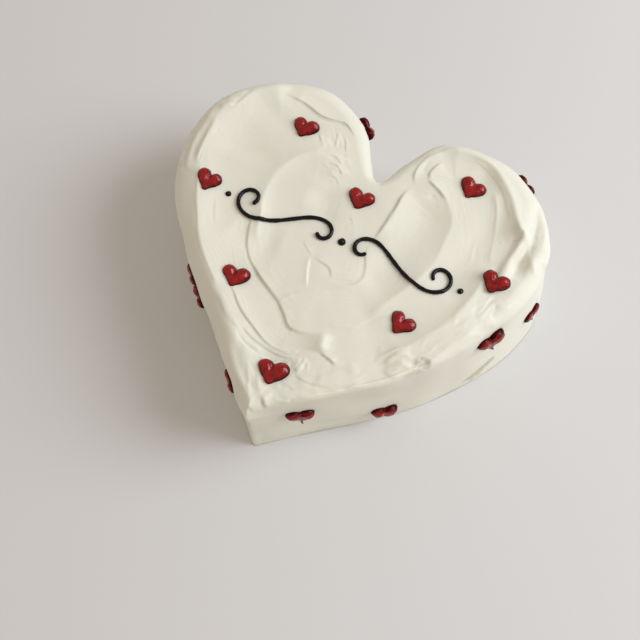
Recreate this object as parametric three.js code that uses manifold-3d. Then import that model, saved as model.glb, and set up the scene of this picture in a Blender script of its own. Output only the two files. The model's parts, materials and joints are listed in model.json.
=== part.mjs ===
// A heart shaped cake covered in spatula-smoothed cream, with piped red hearts and a piped scroll.
// Millimetres, +Z up. The cake stands on its flat bottom, its point towards -Y.
import * as THREE from 'three';
import { mergeVertices } from 'three/addons/utils/BufferGeometryUtils.js';
import Module from 'manifold-3d';

const wasm = await Module();
wasm.setup();

// The drawing frame has its origin under the middle of the top. The finished model is moved by this
// much, so that its own origin is under the middle of its box.
const MODEL_SHIFT = { x: 1.5, y: -0.46 };

// The foot of the wall, anticlockwise from the point of the heart.
const FOOT_OUTLINE = [
  [-4.8, -74.9], [-1.2, -72.2], [9, -64], [30, -48], [52, -29], [69, -8.5], [80, 11.5], [84, 33],
  [73.5, 56.5], [54.5, 71.3], [35, 74.5], [16.5, 69], [6.5, 53.5], [0.2, 41.2],
  [-6, 49], [-16, 63.5], [-36, 73], [-60, 68.3], [-77.5, 54], [-85, 31.5],
  [-79.7, 5.3], [-62.9, -17.5], [-38, -43], [-13.6, -66.9], [-7.6, -73.2],
];

// How the edge is shaped at some bearings round the cake: the height of the top there, how far in and
// how far down its rounding reaches, and how much the wall leans in from foot to rounding.
const EDGE_SHAPES = [
  { bearing: 0, top: 54, roundIn: 5.5, roundDown: 7.5, lean: 4.3 },
  { bearing: 22, top: 54, roundIn: 7, roundDown: 9, lean: 5.3 },
  { bearing: 60, top: 53.5, roundIn: 8, roundDown: 9, lean: 2 },
  { bearing: 90, top: 53, roundIn: 5, roundDown: 7, lean: 0.5 },
  { bearing: 125, top: 53.5, roundIn: 8, roundDown: 9, lean: 0.5 },
  { bearing: 158, top: 54, roundIn: 9, roundDown: 10, lean: 0.5 },
  { bearing: 177, top: 54, roundIn: 10.5, roundDown: 10, lean: 0.5 },
  { bearing: 193, top: 53.8, roundIn: 7.5, roundDown: 9, lean: 0.4 },
  { bearing: 206, top: 53.5, roundIn: 6.5, roundDown: 8, lean: 0.3 },
  { bearing: 240, top: 53, roundIn: 8.5, roundDown: 8.5, lean: 0.4 },
  { bearing: 252, top: 52.5, roundIn: 6.5, roundDown: 8, lean: 0.7 },
  { bearing: 266, top: 51.5, roundIn: 5, roundDown: 7, lean: 1.3 },
  { bearing: 288, top: 52, roundIn: 1.4, roundDown: 2, lean: 0.4 },
  { bearing: 312, top: 53, roundIn: 1.3, roundDown: 1.8, lean: 0.2 },
  { bearing: 330, top: 53.4, roundIn: 1.8, roundDown: 2.6, lean: 0.8 },
  { bearing: 345, top: 53.8, roundIn: 3.6, roundDown: 5.2, lean: 2.4 },
];
const TOP_CENTRE = { x: -2, y: 8, height: 53.5 };
// From this far in from the edge, the top is as high as in its middle.
const LEVEL_REACH = 45;

// Strokes of the spatula that stand out in the cream of the top. Each follows its points. On the left
// and on the right of the way it runs, the cream is raised (or lowered, when negative) by the first
// number and comes back to level over about the second. The third number is how round it is: 1 makes a
// sharp crest or step, and 2 a soft swell or hollow.
const STROKES = [
  // thick rim along the left lobe and the left wall
  {
    path: [
      [-50, 65], [-57, 62.5], [-66, 55], [-70, 48], [-73.3, 41], [-74.3, 30], [-71.3, 15],
      [-66, 4], [-57.5, -14], [-50.3, -22.5], [-41.5, -31.3], [-33, -38.3], [-27.5, -45], [-21.5, -53],
      [-15, -61], [-9, -66.3], [-3, -70.5],
    ],
    left: [1.8, 8, 1.8],
    right: [1.8, 4.6, 1.05],
  },
  // hollow inside that rim
  { path: [[-50, 56], [-56, 44], [-55, 22]], left: [-1.3, 11, 2], right: [-1.3, 11, 2] },
  // ledge along the top of the left lobe
  {
    path: [[-53, 60.6], [-44.5, 59.8], [-36, 57.2], [-29, 57], [-22.5, 57.3], [-16, 53]],
    left: [0.9, 5, 1.1],
    right: [0, 2, 1],
  },
  // crest that closes the wide swirl on its upper left
  {
    path: [
      [-20, 41], [-27, 40], [-33, 36], [-37.6, 28.5], [-39.6, 19], [-38.8, 10], [-36.3, 3], [-34.5, -3.5],
      [-31, -11],
    ],
    left: [1.4, 3.5, 1],
    right: [1.4, 6, 1],
  },
  // loaded patch at the upper end of the swirl, and the hollow below it
  { path: [[-26, 43], [-18, 39], [-14, 31]], left: [0.5, 5, 2], right: [0.5, 5, 2] },
  { path: [[-19, 27], [-15, 20], [-14, 10]], left: [-0.7, 6, 2], right: [-0.7, 6, 2] },
  // hollow at the left of the swirl
  { path: [[-46, -4], [-36, -6], [-22, -5]], left: [-0.9, 8, 2], right: [-0.9, 8, 2] },
  // edge of the wide swirl in the middle of the top, and the deeper step that ends it
  {
    path: [[-40, 4], [-38.3, -4], [-33.6, -14], [-29, -18.4], [-21.8, -22.9], [-12.7, -27.9]],
    left: [0.4, 5, 1],
    right: [-0.1, 3, 1],
  },
  {
    path: [
      [-31, -16.5], [-21.8, -22.9], [-12.7, -27.9], [-8.5, -31.7], [-4.5, -35.5], [0.5, -35.6],
      [6.5, -34.3],
    ],
    left: [0.4, 6, 1],
    right: [-0.5, 5, 1.5],
  },
  // steps below that swirl
  {
    path: [[-36, -28], [-31, -32], [-25.5, -36.8], [-16.4, -42.3], [-7.3, -45.8], [-1, -45.6], [5, -44]],
    left: [0.6, 3.5, 1],
    right: [-0.15, 2, 1],
  },
  {
    path: [[-24, -46.5], [-14, -49.6], [-4, -50.3], [5, -50]],
    left: [-0.6, 2.5, 1],
    right: [0.4, 4, 1.5],
  },
  // curled edge that starts at the cleft, and the edge that runs on from it down the right lobe
  {
    path: [[24, 66], [20, 62.5], [15.8, 58], [13.4, 52], [13.4, 47], [16.4, 41.5]],
    left: [1.3, 4, 1],
    right: [0.2, 2, 1],
  },
  {
    path: [[15.4, 41.8], [13, 37.5], [12.6, 29], [11.5, 20], [9.6, 11]],
    left: [1.2, 4, 1],
    right: [0.1, 2, 1],
  },
  // hollow of the inner disc of the right lobe
  { path: [[25, 40], [25, 24], [22, 6], [16, -10]], left: [-0.9, 7, 2], right: [-0.9, 7, 2] },
  // crest round that disc
  {
    path: [
      [15, 48.5], [21, 46.6], [26, 44.6], [32, 40.5], [35.7, 34], [37, 25], [36.3, 13], [32.5, 1],
      [27, -9], [21, -20],
    ],
    left: [1.2, 6, 1],
    right: [1.2, 3.5, 1],
  },
  // hollow round the disc
  {
    path: [[34, 60], [45, 54], [52, 42], [52, 29], [47, 14], [43, 0]],
    left: [-1.0, 8, 2],
    right: [-1.0, 8, 2],
  },
  // crest on the lower right of that hollow
  {
    path: [
      [58.5, 24], [57.5, 12], [55.5, 3], [53, -5], [49.5, -12], [45, -18.5], [39.5, -25.5],
      [32, -33],
    ],
    left: [1.7, 6, 1.2],
    right: [1.7, 3.6, 1],
  },
  // high rim of the right lobe, steep on its inner side
  {
    path: [
      [19, 61.5], [24, 65], [31.8, 66.2], [40, 64.5], [47.3, 60.2], [52.4, 55.6], [56.8, 50],
      [60, 45], [62.8, 41], [66, 39], [66.6, 35.5],
    ],
    left: [2.9, 5, 1.1],
    right: [2.9, 3.6, 0.9],
  },
  // thin ridge that runs on from that rim
  {
    path: [[60.5, 44.5], [63, 41], [65.4, 38.6], [65.5, 35], [65, 30], [64.3, 25], [63.4, 18], [61.5, 10]],
    left: [2.5, 1.7, 2],
    right: [2.5, 1.9, 2],
  },
  // hollow behind that rim, and the two folds on its far side
  {
    path: [[64.5, 58], [66.9, 51.5], [68.6, 45], [68.9, 39.5], [68, 34], [67.6, 28], [67.4, 20]],
    left: [-2, 2.7, 2],
    right: [-2, 2.7, 2],
  },
  {
    path: [[64, 61], [69.5, 55], [73.2, 48.5], [74.4, 42], [73.4, 35.5]],
    left: [1.9, 3.4, 1],
    right: [1.9, 2.2, 1.2],
  },
  {
    path: [[69.4, 37], [70.4, 33.5], [73, 29.7], [76, 26], [77.6, 19]],
    left: [1.1, 3, 1],
    right: [1.1, 2.4, 1.2],
  },
  // edge of the loaded end of a stroke near the point
  { path: [[9.2, -31.2], [10.3, -36], [11.4, -40.4]], left: [1.7, 2, 1.3], right: [1.7, 4.5, 1.2] },
  // crease inside the left rim near the point
  {
    path: [[-24.5, -46.5], [-19, -53], [-12.8, -60], [-6.6, -64.8], [-1.5, -68]],
    left: [-1.2, 2.4, 1.5],
    right: [-1.2, 1.8, 1.5],
  },
  // ledge that closes the swirl on its lower right
  {
    path: [[9.3, 12], [9.8, 6], [12, 0.5], [13, -4.5], [10.8, -8.3], [5.5, -10.8], [1, -11.2]],
    left: [0.45, 3.5, 1],
    right: [-0.1, 2, 1],
  },
];
const STROKE_EDGE = 0.8;
const STROKE_SOFTNESS = 0.5;
// A stroke fades out over this length at its ends, or over this share of its length when it is short.
const STROKE_FADE = 9;
const SHORTEST_FADE = 0.3;

// Resolution of the cake's surface. Its spokes are thinned out towards the middle of the top.
const SPOKES = 176;
const WALL_STEPS = 3;
const ROUND_STEPS = 5;
const TOP_STEPS = 16;
const THINNED_AFTER = [6, 11];
// How finely the foot and the line along the top of the wall are followed, and how steeply a spoke may
// cross that line.
const WALL_TOP_POINTS = 480;
const LEAST_CROSSING = 0.35;

// Piped hearts: two tapered blobs side by side that meet in a point. Touching pieces keep a small gap.
const CONTACT_GAP = 0.3;
// One blob's sizes as shares of the heart's width: the radius of its round head, and the places of the
// head and of the point. Its outline is round at first and then narrows at these shares of its length.
const HEART_BLOB = { headRadius: 0.27, headX: 0.235, headY: 0.14, tipX: 0.03, tipY: -0.38 };
const BLOB_NARROWING = [{ radius: 0.66, length: 0.58 }, { radius: 0.2, length: 0.97 }];
const HEAD_TURN = 0.55 * Math.PI;
const HEAD_STEPS = 3;
const BLOB_SIDES = 8;
// Hearts on the wall are a little flatter than those on the top.
const SIDE_HEART_FLATNESS = 0.92;
const TOP_HEARTS = [
  { x: -38, y: 48.4, width: 11.6, turn: -3 },
  { x: 37.4, y: 50.7, width: 11.8, turn: -12 },
  { x: -2.1, y: 27.3, width: 11.8, turn: 0 },
  { x: -63.1, y: 7.6, width: 10.6, turn: -5 },
  { x: 61.8, y: 14.5, width: 11.5, turn: -8 },
  { x: -33.4, y: -26, width: 11.6, turn: 6 },
  { x: 34.6, y: -16.4, width: 11.9, turn: -20 },
  { x: -2.7, y: -54.9, width: 13.2, turn: 0 },
];
// Hearts on the wall, each at the place on the wall that is nearest to x and y.
const SIDE_HEARTS = [
  { x: -16, y: 63.5, height: 44.5, width: 11.5 },
  { x: 57, y: 68, height: 42, width: 11.5 },
  { x: 82.6, y: 23.8, height: 20.5, width: 10.6 },
  { x: 69.2, y: -3.1, height: 40.6, width: 13.2 },
  { x: 39.7, y: -39.6, height: 12.6, width: 11.6 },
  { x: 12.5, y: -60.8, height: 33.6, width: 12 },
  { x: -55.4, y: -26.6, height: 35, width: 11 },
  { x: -52.4, y: -29.9, height: 20.5, width: 11.8 },
  { x: -21.9, y: -59.6, height: 25.5, width: 11.4 },
  { x: -84, y: 22, height: 30, width: 11 },
  { x: -70, y: 61, height: 22, width: 11 },
  { x: 12, y: 63, height: 26, width: 11 },
  { x: 36, y: 74, height: 34, width: 11 },
  { x: 76.5, y: 52, height: 20, width: 11 },
];

// The piped scroll: two mirrored S-shaped lines with curled ends, and three drops. Each arm of a line
// turns by its curl in all, and the higher the tightening, the straighter the line's middle stays.
const SCROLL = { x: -1, y: 6.5, gapFromMiddle: 5.5, thickness: 1.7, tilt: -32, tightening: 2.6 };
const INNER_ARM = { length: 29, curl: 290 };
const OUTER_ARM = { length: 45, curl: 360 };
const SCROLL_STEPS = 40;
const SCROLL_FINE_STEPS = 600;
const SCROLL_SIDES = 6;
// The scroll's middle line lies this share of its thickness above the cream, and a drop's middle this
// share of its diameter.
const SCROLL_RISE = 0.3;
const DROP_RISE = 0.15;
const DROP_SIDES = 9;
const DROP_ROWS = 6;
const DROPS = [
  { name: 'scroll_drop_middle', x: -1, diameter: 3.4 },
  { name: 'scroll_drop_left', x: -53, diameter: 2.6 },
  { name: 'scroll_drop_right', x: 51, diameter: 2.6 },
];

const CREAM = new THREE.MeshStandardMaterial({ color: 0xece6d6, roughness: 0.62, metalness: 0 });
const RED_ICING = new THREE.MeshStandardMaterial({ color: 0x9c1419, roughness: 0.28, metalness: 0 });
const BLACK_ICING = new THREE.MeshStandardMaterial({ color: 0x15130f, roughness: 0.32, metalness: 0 });

const degrees = THREE.MathUtils.degToRad;
const smooth = (value) => THREE.MathUtils.smoothstep(value, 0, 1);

// Evenly spaced points round the foot of the wall, with the direction that points out of the cake.
function footPoints(count) {
  const knots = FOOT_OUTLINE.map(([x, y]) => new THREE.Vector3(x, y, 0));
  const curve = new THREE.CatmullRomCurve3(knots, true, 'centripetal');
  curve.arcLengthDivisions = 1200;
  return Array.from({ length: count }, (_, i) => {
    const point = curve.getPointAt(i / count);
    const along = curve.getTangentAt(i / count);
    return { point, out: new THREE.Vector3(along.y, -along.x, 0).normalize() };
  });
}

// The edge's shape at any bearing, blended between the two nearest entries of EDGE_SHAPES.
function edgeShape(x, y) {
  const bearing = (THREE.MathUtils.radToDeg(Math.atan2(y, x)) + 360) % 360;
  const next = EDGE_SHAPES.findIndex((entry) => entry.bearing > bearing);
  const after = EDGE_SHAPES[next < 0 ? 0 : next];
  const before = EDGE_SHAPES[next < 0 ? EDGE_SHAPES.length - 1 : next - 1];
  const span = (after.bearing - before.bearing + 360) % 360;
  const blend = smooth((bearing - before.bearing) / span);
  const mix = (name) => THREE.MathUtils.lerp(before[name], after[name], blend);
  return { top: mix('top'), roundIn: mix('roundIn'), roundDown: mix('roundDown'), lean: mix('lean') };
}

// Nearest place on a line of points: how far away it is, how far along the line, and on which side.
function nearestOnLine(line, x, y) {
  let best = { distance: Infinity };
  let travelled = 0;
  for (let i = 0; i + 1 < line.length; i += 1) {
    const stepX = line[i + 1].x - line[i].x;
    const stepY = line[i + 1].y - line[i].y;
    const length = Math.hypot(stepX, stepY);
    const offX = x - line[i].x;
    const offY = y - line[i].y;
    const share = THREE.MathUtils.clamp((offX * stepX + offY * stepY) / length ** 2, 0, 1);
    const distance = Math.hypot(offX - share * stepX, offY - share * stepY);
    if (distance < best.distance) {
      best = { distance, along: travelled + share * length, left: stepX * offY - stepY * offX > 0 };
    }
    travelled += length;
  }
  return { ...best, total: travelled };
}

const strokeLines = STROKES.map(({ path }) => {
  const knots = path.map(([x, y]) => new THREE.Vector3(x, y, 0));
  return new THREE.CatmullRomCurve3(knots, false, 'centripetal').getPoints(path.length * 5);
});

// Height that one side of a stroke has at a distance from its line, at most.
function sideHeight([rise, reach, roundness], distance) {
  const away = Math.hypot(distance, STROKE_SOFTNESS) - STROKE_SOFTNESS;
  return rise * Math.exp(-((away / reach) ** roundness));
}

// Height that the spatula strokes add to the smooth top.
function strokeHeight(x, y) {
  let height = 0;
  STROKES.forEach(({ left, right }, i) => {
    const { distance, along, total, left: onLeft } = nearestOnLine(strokeLines[i], x, y);
    const fadeLength = Math.min(STROKE_FADE, total * SHORTEST_FADE);
    const fade = smooth(along / fadeLength) * smooth((total - along) / fadeLength);
    const signed = onLeft ? distance : -distance;
    const leftPart = sideHeight(left, Math.max(signed, 0));
    const rightPart = sideHeight(right, Math.max(-signed, 0));
    const share = smooth(0.5 + signed / (2 * STROKE_EDGE));
    height += fade * THREE.MathUtils.lerp(rightPart, leftPart, share);
  });
  return height;
}

const wallFoot = footPoints(SPOKES);
const wallPlaces = footPoints(WALL_TOP_POINTS);
const wallTop = wallPlaces.map(({ point, out }) => {
  return point.clone().addScaledVector(out, -edgeShape(point.x, point.y).lean);
});
wallTop.push(wallTop[0]);

// Height of the cream above the foot at a place on the top.
function topHeight(x, y) {
  const shape = edgeShape(x, y);
  const inwards = nearestOnLine(wallTop, x, y).distance;
  const rest = Math.max(0, 1 - inwards / shape.roundIn);
  const rounding = shape.roundDown * (1 - Math.sqrt(1 - rest * rest));
  const middle = smooth(inwards / LEVEL_REACH);
  const level = THREE.MathUtils.lerp(shape.top, TOP_CENTRE.height, middle);
  return level - rounding + strokeHeight(x, y) * smooth(inwards / shape.roundIn);
}

// Closed solid from rings of points that go up from a flat bottom and close over the top. Each ring has
// as many points as the one before it, or half as many.
function ringedGeometry(rings, bottom, top) {
  const positions = [...rings.flat(), bottom, top].flatMap((point) => [point.x, point.y, point.z]);
  const bottomIndex = positions.length / 3 - 2;
  const topIndex = bottomIndex + 1;
  const index = [];
  rings[0].forEach((_, i) => index.push(bottomIndex, (i + 1) % rings[0].length, i));
  let lower = 0;
  for (let ring = 0; ring + 1 < rings.length; ring += 1) {
    const count = rings[ring].length;
    const upper = lower + count;
    const upperCount = rings[ring + 1].length;
    const ratio = count / upperCount;
    for (let i = 0; i < upperCount; i += 1) {
      const here = upper + i;
      const next = upper + ((i + 1) % upperCount);
      for (let part = 0; part < ratio; part += 1) {
        index.push(lower + i * ratio + part, lower + ((i * ratio + part + 1) % count), here);
      }
      index.push(lower + (((i + 1) * ratio) % count), next, here);
    }
    lower = upper;
  }
  const last = rings.at(-1).length;
  rings.at(-1).forEach((_, i) => index.push(topIndex, lower + i, lower + ((i + 1) % last)));
  const geometry = new THREE.BufferGeometry();
  geometry.setAttribute('position', new THREE.Float32BufferAttribute(positions, 3));
  geometry.setIndex(index);
  return geometry;
}

function cakeGeometry() {
  const centre = new THREE.Vector3(TOP_CENTRE.x, TOP_CENTRE.y, 0);
  const spokes = wallFoot.map(({ point, out }) => {
    const shape = edgeShape(point.x, point.y);
    const edge = point.clone().addScaledVector(out, -shape.lean);
    const inward = centre.clone().sub(edge);
    const length = inward.length();
    inward.normalize();
    // a step along the spoke is longer than the same step straight in from the edge
    const stretch = 1 / Math.max(-inward.dot(out), LEAST_CROSSING);
    return { point, out, shape, edge, inward, length, stretch };
  });
  const onTop = ({ edge, inward }, travel) => {
    const place = edge.clone().addScaledVector(inward, travel);
    return place.setZ(topHeight(place.x, place.y));
  };
  const rings = [];
  for (let step = 0; step <= WALL_STEPS; step += 1) {
    const share = step / WALL_STEPS;
    rings.push(spokes.map(({ point, out, shape }) => {
      const place = point.clone().addScaledVector(out, -shape.lean * share);
      return place.setZ(share * (shape.top - shape.roundDown));
    }));
  }
  for (let step = 1; step <= ROUND_STEPS; step += 1) {
    const turn = 1 - Math.cos((step / ROUND_STEPS) * Math.PI / 2);
    rings.push(spokes.map((spoke) => onTop(spoke, turn * spoke.shape.roundIn * spoke.stretch)));
  }
  for (let step = 1; step < TOP_STEPS; step += 1) {
    const thinning = 2 ** THINNED_AFTER.filter((limit) => step > limit).length;
    rings.push(spokes.filter((_, i) => i % thinning === 0).map((spoke) => {
      const start = spoke.shape.roundIn * spoke.stretch;
      return onTop(spoke, THREE.MathUtils.lerp(start, spoke.length, step / TOP_STEPS));
    }));
  }
  const top = centre.clone().setZ(topHeight(centre.x, centre.y));
  return ringedGeometry(rings, centre, top);
}

// Solids for joining and cutting are made from the positions alone, with shared corners merged.
function solidFrom(geometry) {
  const bare = geometry.clone();
  bare.deleteAttribute('normal');
  bare.deleteAttribute('uv');
  const merged = mergeVertices(bare, 1e-4);
  return new wasm.Manifold(new wasm.Mesh({
    numProp: 3,
    vertProperties: new Float32Array(merged.attributes.position.array),
    triVerts: new Uint32Array(merged.index.array),
  }));
}

function geometryFrom(solid) {
  const { vertProperties, triVerts } = solid.getMesh();
  const geometry = new THREE.BufferGeometry();
  geometry.setAttribute('position', new THREE.Float32BufferAttribute(vertProperties, 3));
  geometry.setIndex(Array.from(triVerts));
  geometry.computeVertexNormals();
  return geometry;
}

const cakeShape = cakeGeometry();
const cakeSolid = solidFrom(cakeShape);

// What is left of a piped piece outside the cream, a small gap away from it.
function sitOnCream(geometry, out) {
  const gap = out.clone().multiplyScalar(CONTACT_GAP);
  return geometryFrom(solidFrom(geometry).subtract(cakeSolid.translate([gap.x, gap.y, gap.z])));
}

// One half of a piped heart: round at the head and drawn out to a point, lying in the XY plane.
function blobGeometry(width, side) {
  const headRadius = width * HEART_BLOB.headRadius;
  const head = new THREE.Vector2(side * width * HEART_BLOB.headX, width * HEART_BLOB.headY);
  const tip = new THREE.Vector2(side * width * HEART_BLOB.tipX, width * HEART_BLOB.tipY);
  const length = head.distanceTo(tip);
  const profile = [];
  for (let step = 0; step <= HEAD_STEPS; step += 1) {
    const angle = (step / HEAD_STEPS) * HEAD_TURN;
    profile.push(new THREE.Vector2(headRadius * Math.sin(angle), headRadius * Math.cos(angle)));
  }
  BLOB_NARROWING.forEach(({ radius, length: along }) => {
    profile.push(new THREE.Vector2(headRadius * radius, -length * along));
  });
  profile.push(new THREE.Vector2(0, -length));
  profile[0].x = 0;
  const geometry = new THREE.LatheGeometry(profile.reverse(), BLOB_SIDES);
  geometry.rotateZ(Math.atan2(head.y - tip.y, head.x - tip.x) - Math.PI / 2);
  geometry.translate(head.x, head.y, 0);
  return geometry;
}

// A whole piped heart in the XY plane, moved to its place by the matrix, then fitted to the cream.
function heartMesh(name, width, placement) {
  const leftHalf = solidFrom(blobGeometry(width, -1));
  const rightHalf = solidFrom(blobGeometry(width, 1));
  const whole = geometryFrom(leftHalf.add(rightHalf));
  whole.applyMatrix4(placement);
  const out = new THREE.Vector3().setFromMatrixColumn(placement, 2).normalize();
  const mesh = new THREE.Mesh(sitOnCream(whole, out), RED_ICING);
  mesh.name = name;
  return mesh;
}

function topHeart({ x, y, width, turn }, number) {
  const placement = new THREE.Matrix4().makeRotationZ(degrees(turn));
  placement.setPosition(x, y, topHeight(x, y));
  return heartMesh(`top_heart_${number}`, width, placement);
}

function sideHeart({ x, y, height, width }, number) {
  const away = ({ point }) => Math.hypot(point.x - x, point.y - y);
  const near = wallPlaces.reduce((best, spot) => (away(spot) < away(best) ? spot : best));
  const shape = edgeShape(near.point.x, near.point.y);
  const wallHeight = shape.top - shape.roundDown;
  const up = new THREE.Vector3(-near.out.x * shape.lean, -near.out.y * shape.lean, wallHeight).normalize();
  const across = new THREE.Vector3().crossVectors(up, near.out).normalize();
  const out = new THREE.Vector3().crossVectors(across, up);
  const placement = new THREE.Matrix4().makeBasis(across, up, out.multiplyScalar(SIDE_HEART_FLATNESS));
  placement.setPosition(near.point.clone().addScaledVector(up, height / up.z));
  return heartMesh(`side_heart_${number}`, width, placement);
}

// The middle line of one half of the scroll. It bends ever more tightly towards both ends.
function scrollLine(side) {
  const turn = (travel) => {
    const arm = travel < 0 ? INNER_ARM : OUTER_ARM;
    return degrees(arm.curl) * Math.abs(travel / arm.length) ** SCROLL.tightening;
  };
  const stepLength = (INNER_ARM.length + OUTER_ARM.length) / SCROLL_FINE_STEPS;
  const line = [new THREE.Vector2(0, 0)];
  for (let step = 0; step < SCROLL_FINE_STEPS; step += 1) {
    const middleOfStep = -INNER_ARM.length + (step + 0.5) * stepLength;
    const heading = degrees(SCROLL.tilt) + turn(middleOfStep);
    const onwards = new THREE.Vector2(Math.cos(heading), Math.sin(heading));
    line.push(line.at(-1).clone().addScaledVector(onwards, stepLength));
  }
  const start = Math.min(...line.map((point) => point.x));
  const heights = line.map((point) => point.y);
  const level = (Math.max(...heights) + Math.min(...heights)) / 2;
  const picked = line.filter((_, i) => i % (SCROLL_FINE_STEPS / SCROLL_STEPS) === 0);
  return picked.map((point) => {
    const x = SCROLL.x + side * (SCROLL.gapFromMiddle + point.x - start);
    const y = SCROLL.y + point.y - level;
    return new THREE.Vector3(x, y, topHeight(x, y) + SCROLL.thickness * SCROLL_RISE);
  });
}

function scrollMesh(name, side) {
  const section = new THREE.Shape();
  for (let corner = 0; corner < SCROLL_SIDES; corner += 1) {
    const angle = (corner / SCROLL_SIDES) * 2 * Math.PI;
    const x = (SCROLL.thickness / 2) * Math.cos(angle);
    const y = (SCROLL.thickness / 2) * Math.sin(angle);
    if (corner === 0) section.moveTo(x, y);
    else section.lineTo(x, y);
  }
  const path = new THREE.CatmullRomCurve3(scrollLine(side));
  const settings = { steps: SCROLL_STEPS, extrudePath: path, curveSegments: 1 };
  const tube = new THREE.ExtrudeGeometry(section, settings);
  const mesh = new THREE.Mesh(sitOnCream(tube, new THREE.Vector3(0, 0, 1)), BLACK_ICING);
  mesh.name = name;
  return mesh;
}

function dropMesh({ name, x, diameter }) {
  const drop = new THREE.SphereGeometry(diameter / 2, DROP_SIDES, DROP_ROWS);
  drop.translate(x, SCROLL.y, topHeight(x, SCROLL.y) + diameter * DROP_RISE);
  const mesh = new THREE.Mesh(sitOnCream(drop, new THREE.Vector3(0, 0, 1)), BLACK_ICING);
  mesh.name = name;
  return mesh;
}

const cakeMesh = new THREE.Mesh(cakeShape, CREAM);
cakeMesh.name = 'cake';

const model = new THREE.Group();
model.add(cakeMesh);
TOP_HEARTS.forEach((heart, i) => model.add(topHeart(heart, i + 1)));
SIDE_HEARTS.forEach((heart, i) => model.add(sideHeart(heart, i + 1)));
model.add(scrollMesh('scroll_left', -1), scrollMesh('scroll_right', 1));
DROPS.forEach((drop) => model.add(dropMesh(drop)));
model.position.set(MODEL_SHIFT.x, MODEL_SHIFT.y, 0);

export default model;
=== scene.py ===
# A heart shaped cake in spatula-smoothed cream, with piped red hearts and a piped scroll.
# The frame and every object are in metres, +Z up. Tables of places and sizes are in millimetres.
import json
import math

import bmesh
import bpy
import numpy as np
from bpy.props import FloatProperty, FloatVectorProperty, IntProperty, PointerProperty
from mathutils import Euler, Matrix, Vector
from mathutils.bvhtree import BVHTree

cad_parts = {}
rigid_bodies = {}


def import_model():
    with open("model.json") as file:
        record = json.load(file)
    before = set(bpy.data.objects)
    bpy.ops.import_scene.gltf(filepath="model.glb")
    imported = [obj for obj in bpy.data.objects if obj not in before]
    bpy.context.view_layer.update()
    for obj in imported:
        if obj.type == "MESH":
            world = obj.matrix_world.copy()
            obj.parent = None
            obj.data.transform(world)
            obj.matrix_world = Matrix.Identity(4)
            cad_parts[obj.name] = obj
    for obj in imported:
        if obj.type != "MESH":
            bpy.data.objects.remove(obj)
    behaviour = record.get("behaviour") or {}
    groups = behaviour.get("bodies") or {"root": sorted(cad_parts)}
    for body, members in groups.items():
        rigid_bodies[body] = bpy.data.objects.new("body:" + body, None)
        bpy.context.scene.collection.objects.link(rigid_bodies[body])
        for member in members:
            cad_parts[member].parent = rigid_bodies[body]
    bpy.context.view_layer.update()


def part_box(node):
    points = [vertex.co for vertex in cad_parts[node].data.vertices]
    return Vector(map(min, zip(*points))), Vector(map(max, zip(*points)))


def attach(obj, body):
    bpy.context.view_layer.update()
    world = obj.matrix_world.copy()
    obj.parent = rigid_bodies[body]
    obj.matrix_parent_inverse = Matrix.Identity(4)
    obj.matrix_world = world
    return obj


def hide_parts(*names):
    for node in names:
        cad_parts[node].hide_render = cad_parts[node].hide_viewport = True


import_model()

bl_info = {
    "name": "Heart Shaped Cake",
    "version": (1, 0, 0),
    "blender": (4, 5, 0),
    "location": "3D View > Sidebar > Cake",
    "description": "Builds a heart shaped cake in smoothed cream, with piped hearts and a piped scroll",
    "category": "Add Mesh",
}

MM = 0.001

# The drawing frame of the tables below has its origin under the middle of the top. This moves it to
# the frame of the model.
MODEL_SHIFT = np.array([1.5, -0.46])

# The foot of the wall, anticlockwise from the point of the heart.
FOOT_OUTLINE = [
    (-4.8, -74.9), (-1.2, -72.2), (9, -64), (30, -48), (52, -29), (69, -8.5), (80, 11.5), (84, 33),
    (73.5, 56.5), (54.5, 71.3), (35, 74.5), (16.5, 69), (6.5, 53.5), (0.2, 41.2),
    (-6, 49), (-16, 63.5), (-36, 73), (-60, 68.3), (-77.5, 54), (-85, 31.5),
    (-79.7, 5.3), (-62.9, -17.5), (-38, -43), (-13.6, -66.9), (-7.6, -73.2),
]

# How the edge is shaped at some bearings round the cake: bearing, height of the top there, how far in
# and how far down its rounding reaches, and how much the wall leans in from foot to rounding.
EDGE_SHAPES = [
    (0, 54, 5.5, 7.5, 4.3),
    (22, 54, 7, 9, 5.3),
    (60, 53.5, 8, 9, 2),
    (90, 53, 5, 7, 0.5),
    (125, 53.5, 8, 9, 0.5),
    (158, 54, 9, 10, 0.5),
    (177, 54, 10.5, 10, 0.5),
    (193, 53.8, 7.5, 9, 0.4),
    (206, 53.5, 6.5, 8, 0.3),
    (240, 53, 8.5, 8.5, 0.4),
    (252, 52.5, 6.5, 8, 0.7),
    (266, 51.5, 5, 7, 1.3),
    (288, 52, 1.4, 2, 0.4),
    (312, 53, 1.3, 1.8, 0.2),
    (330, 53.4, 1.8, 2.6, 0.8),
    (345, 53.8, 3.6, 5.2, 2.4),
]
# The middle of the top, and how far in from the edge the top reaches the height that it has there.
TOP_CENTRE = np.array([-2.0, 8.0])
TOP_CENTRE_HEIGHT = 53.5
LEVEL_REACH = 45
FULL_TURN = 360

# Shares of the way from the edge to the middle after which every second point is left out.
THINNED_AFTER = (0.34, 0.65, 0.84)

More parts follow.
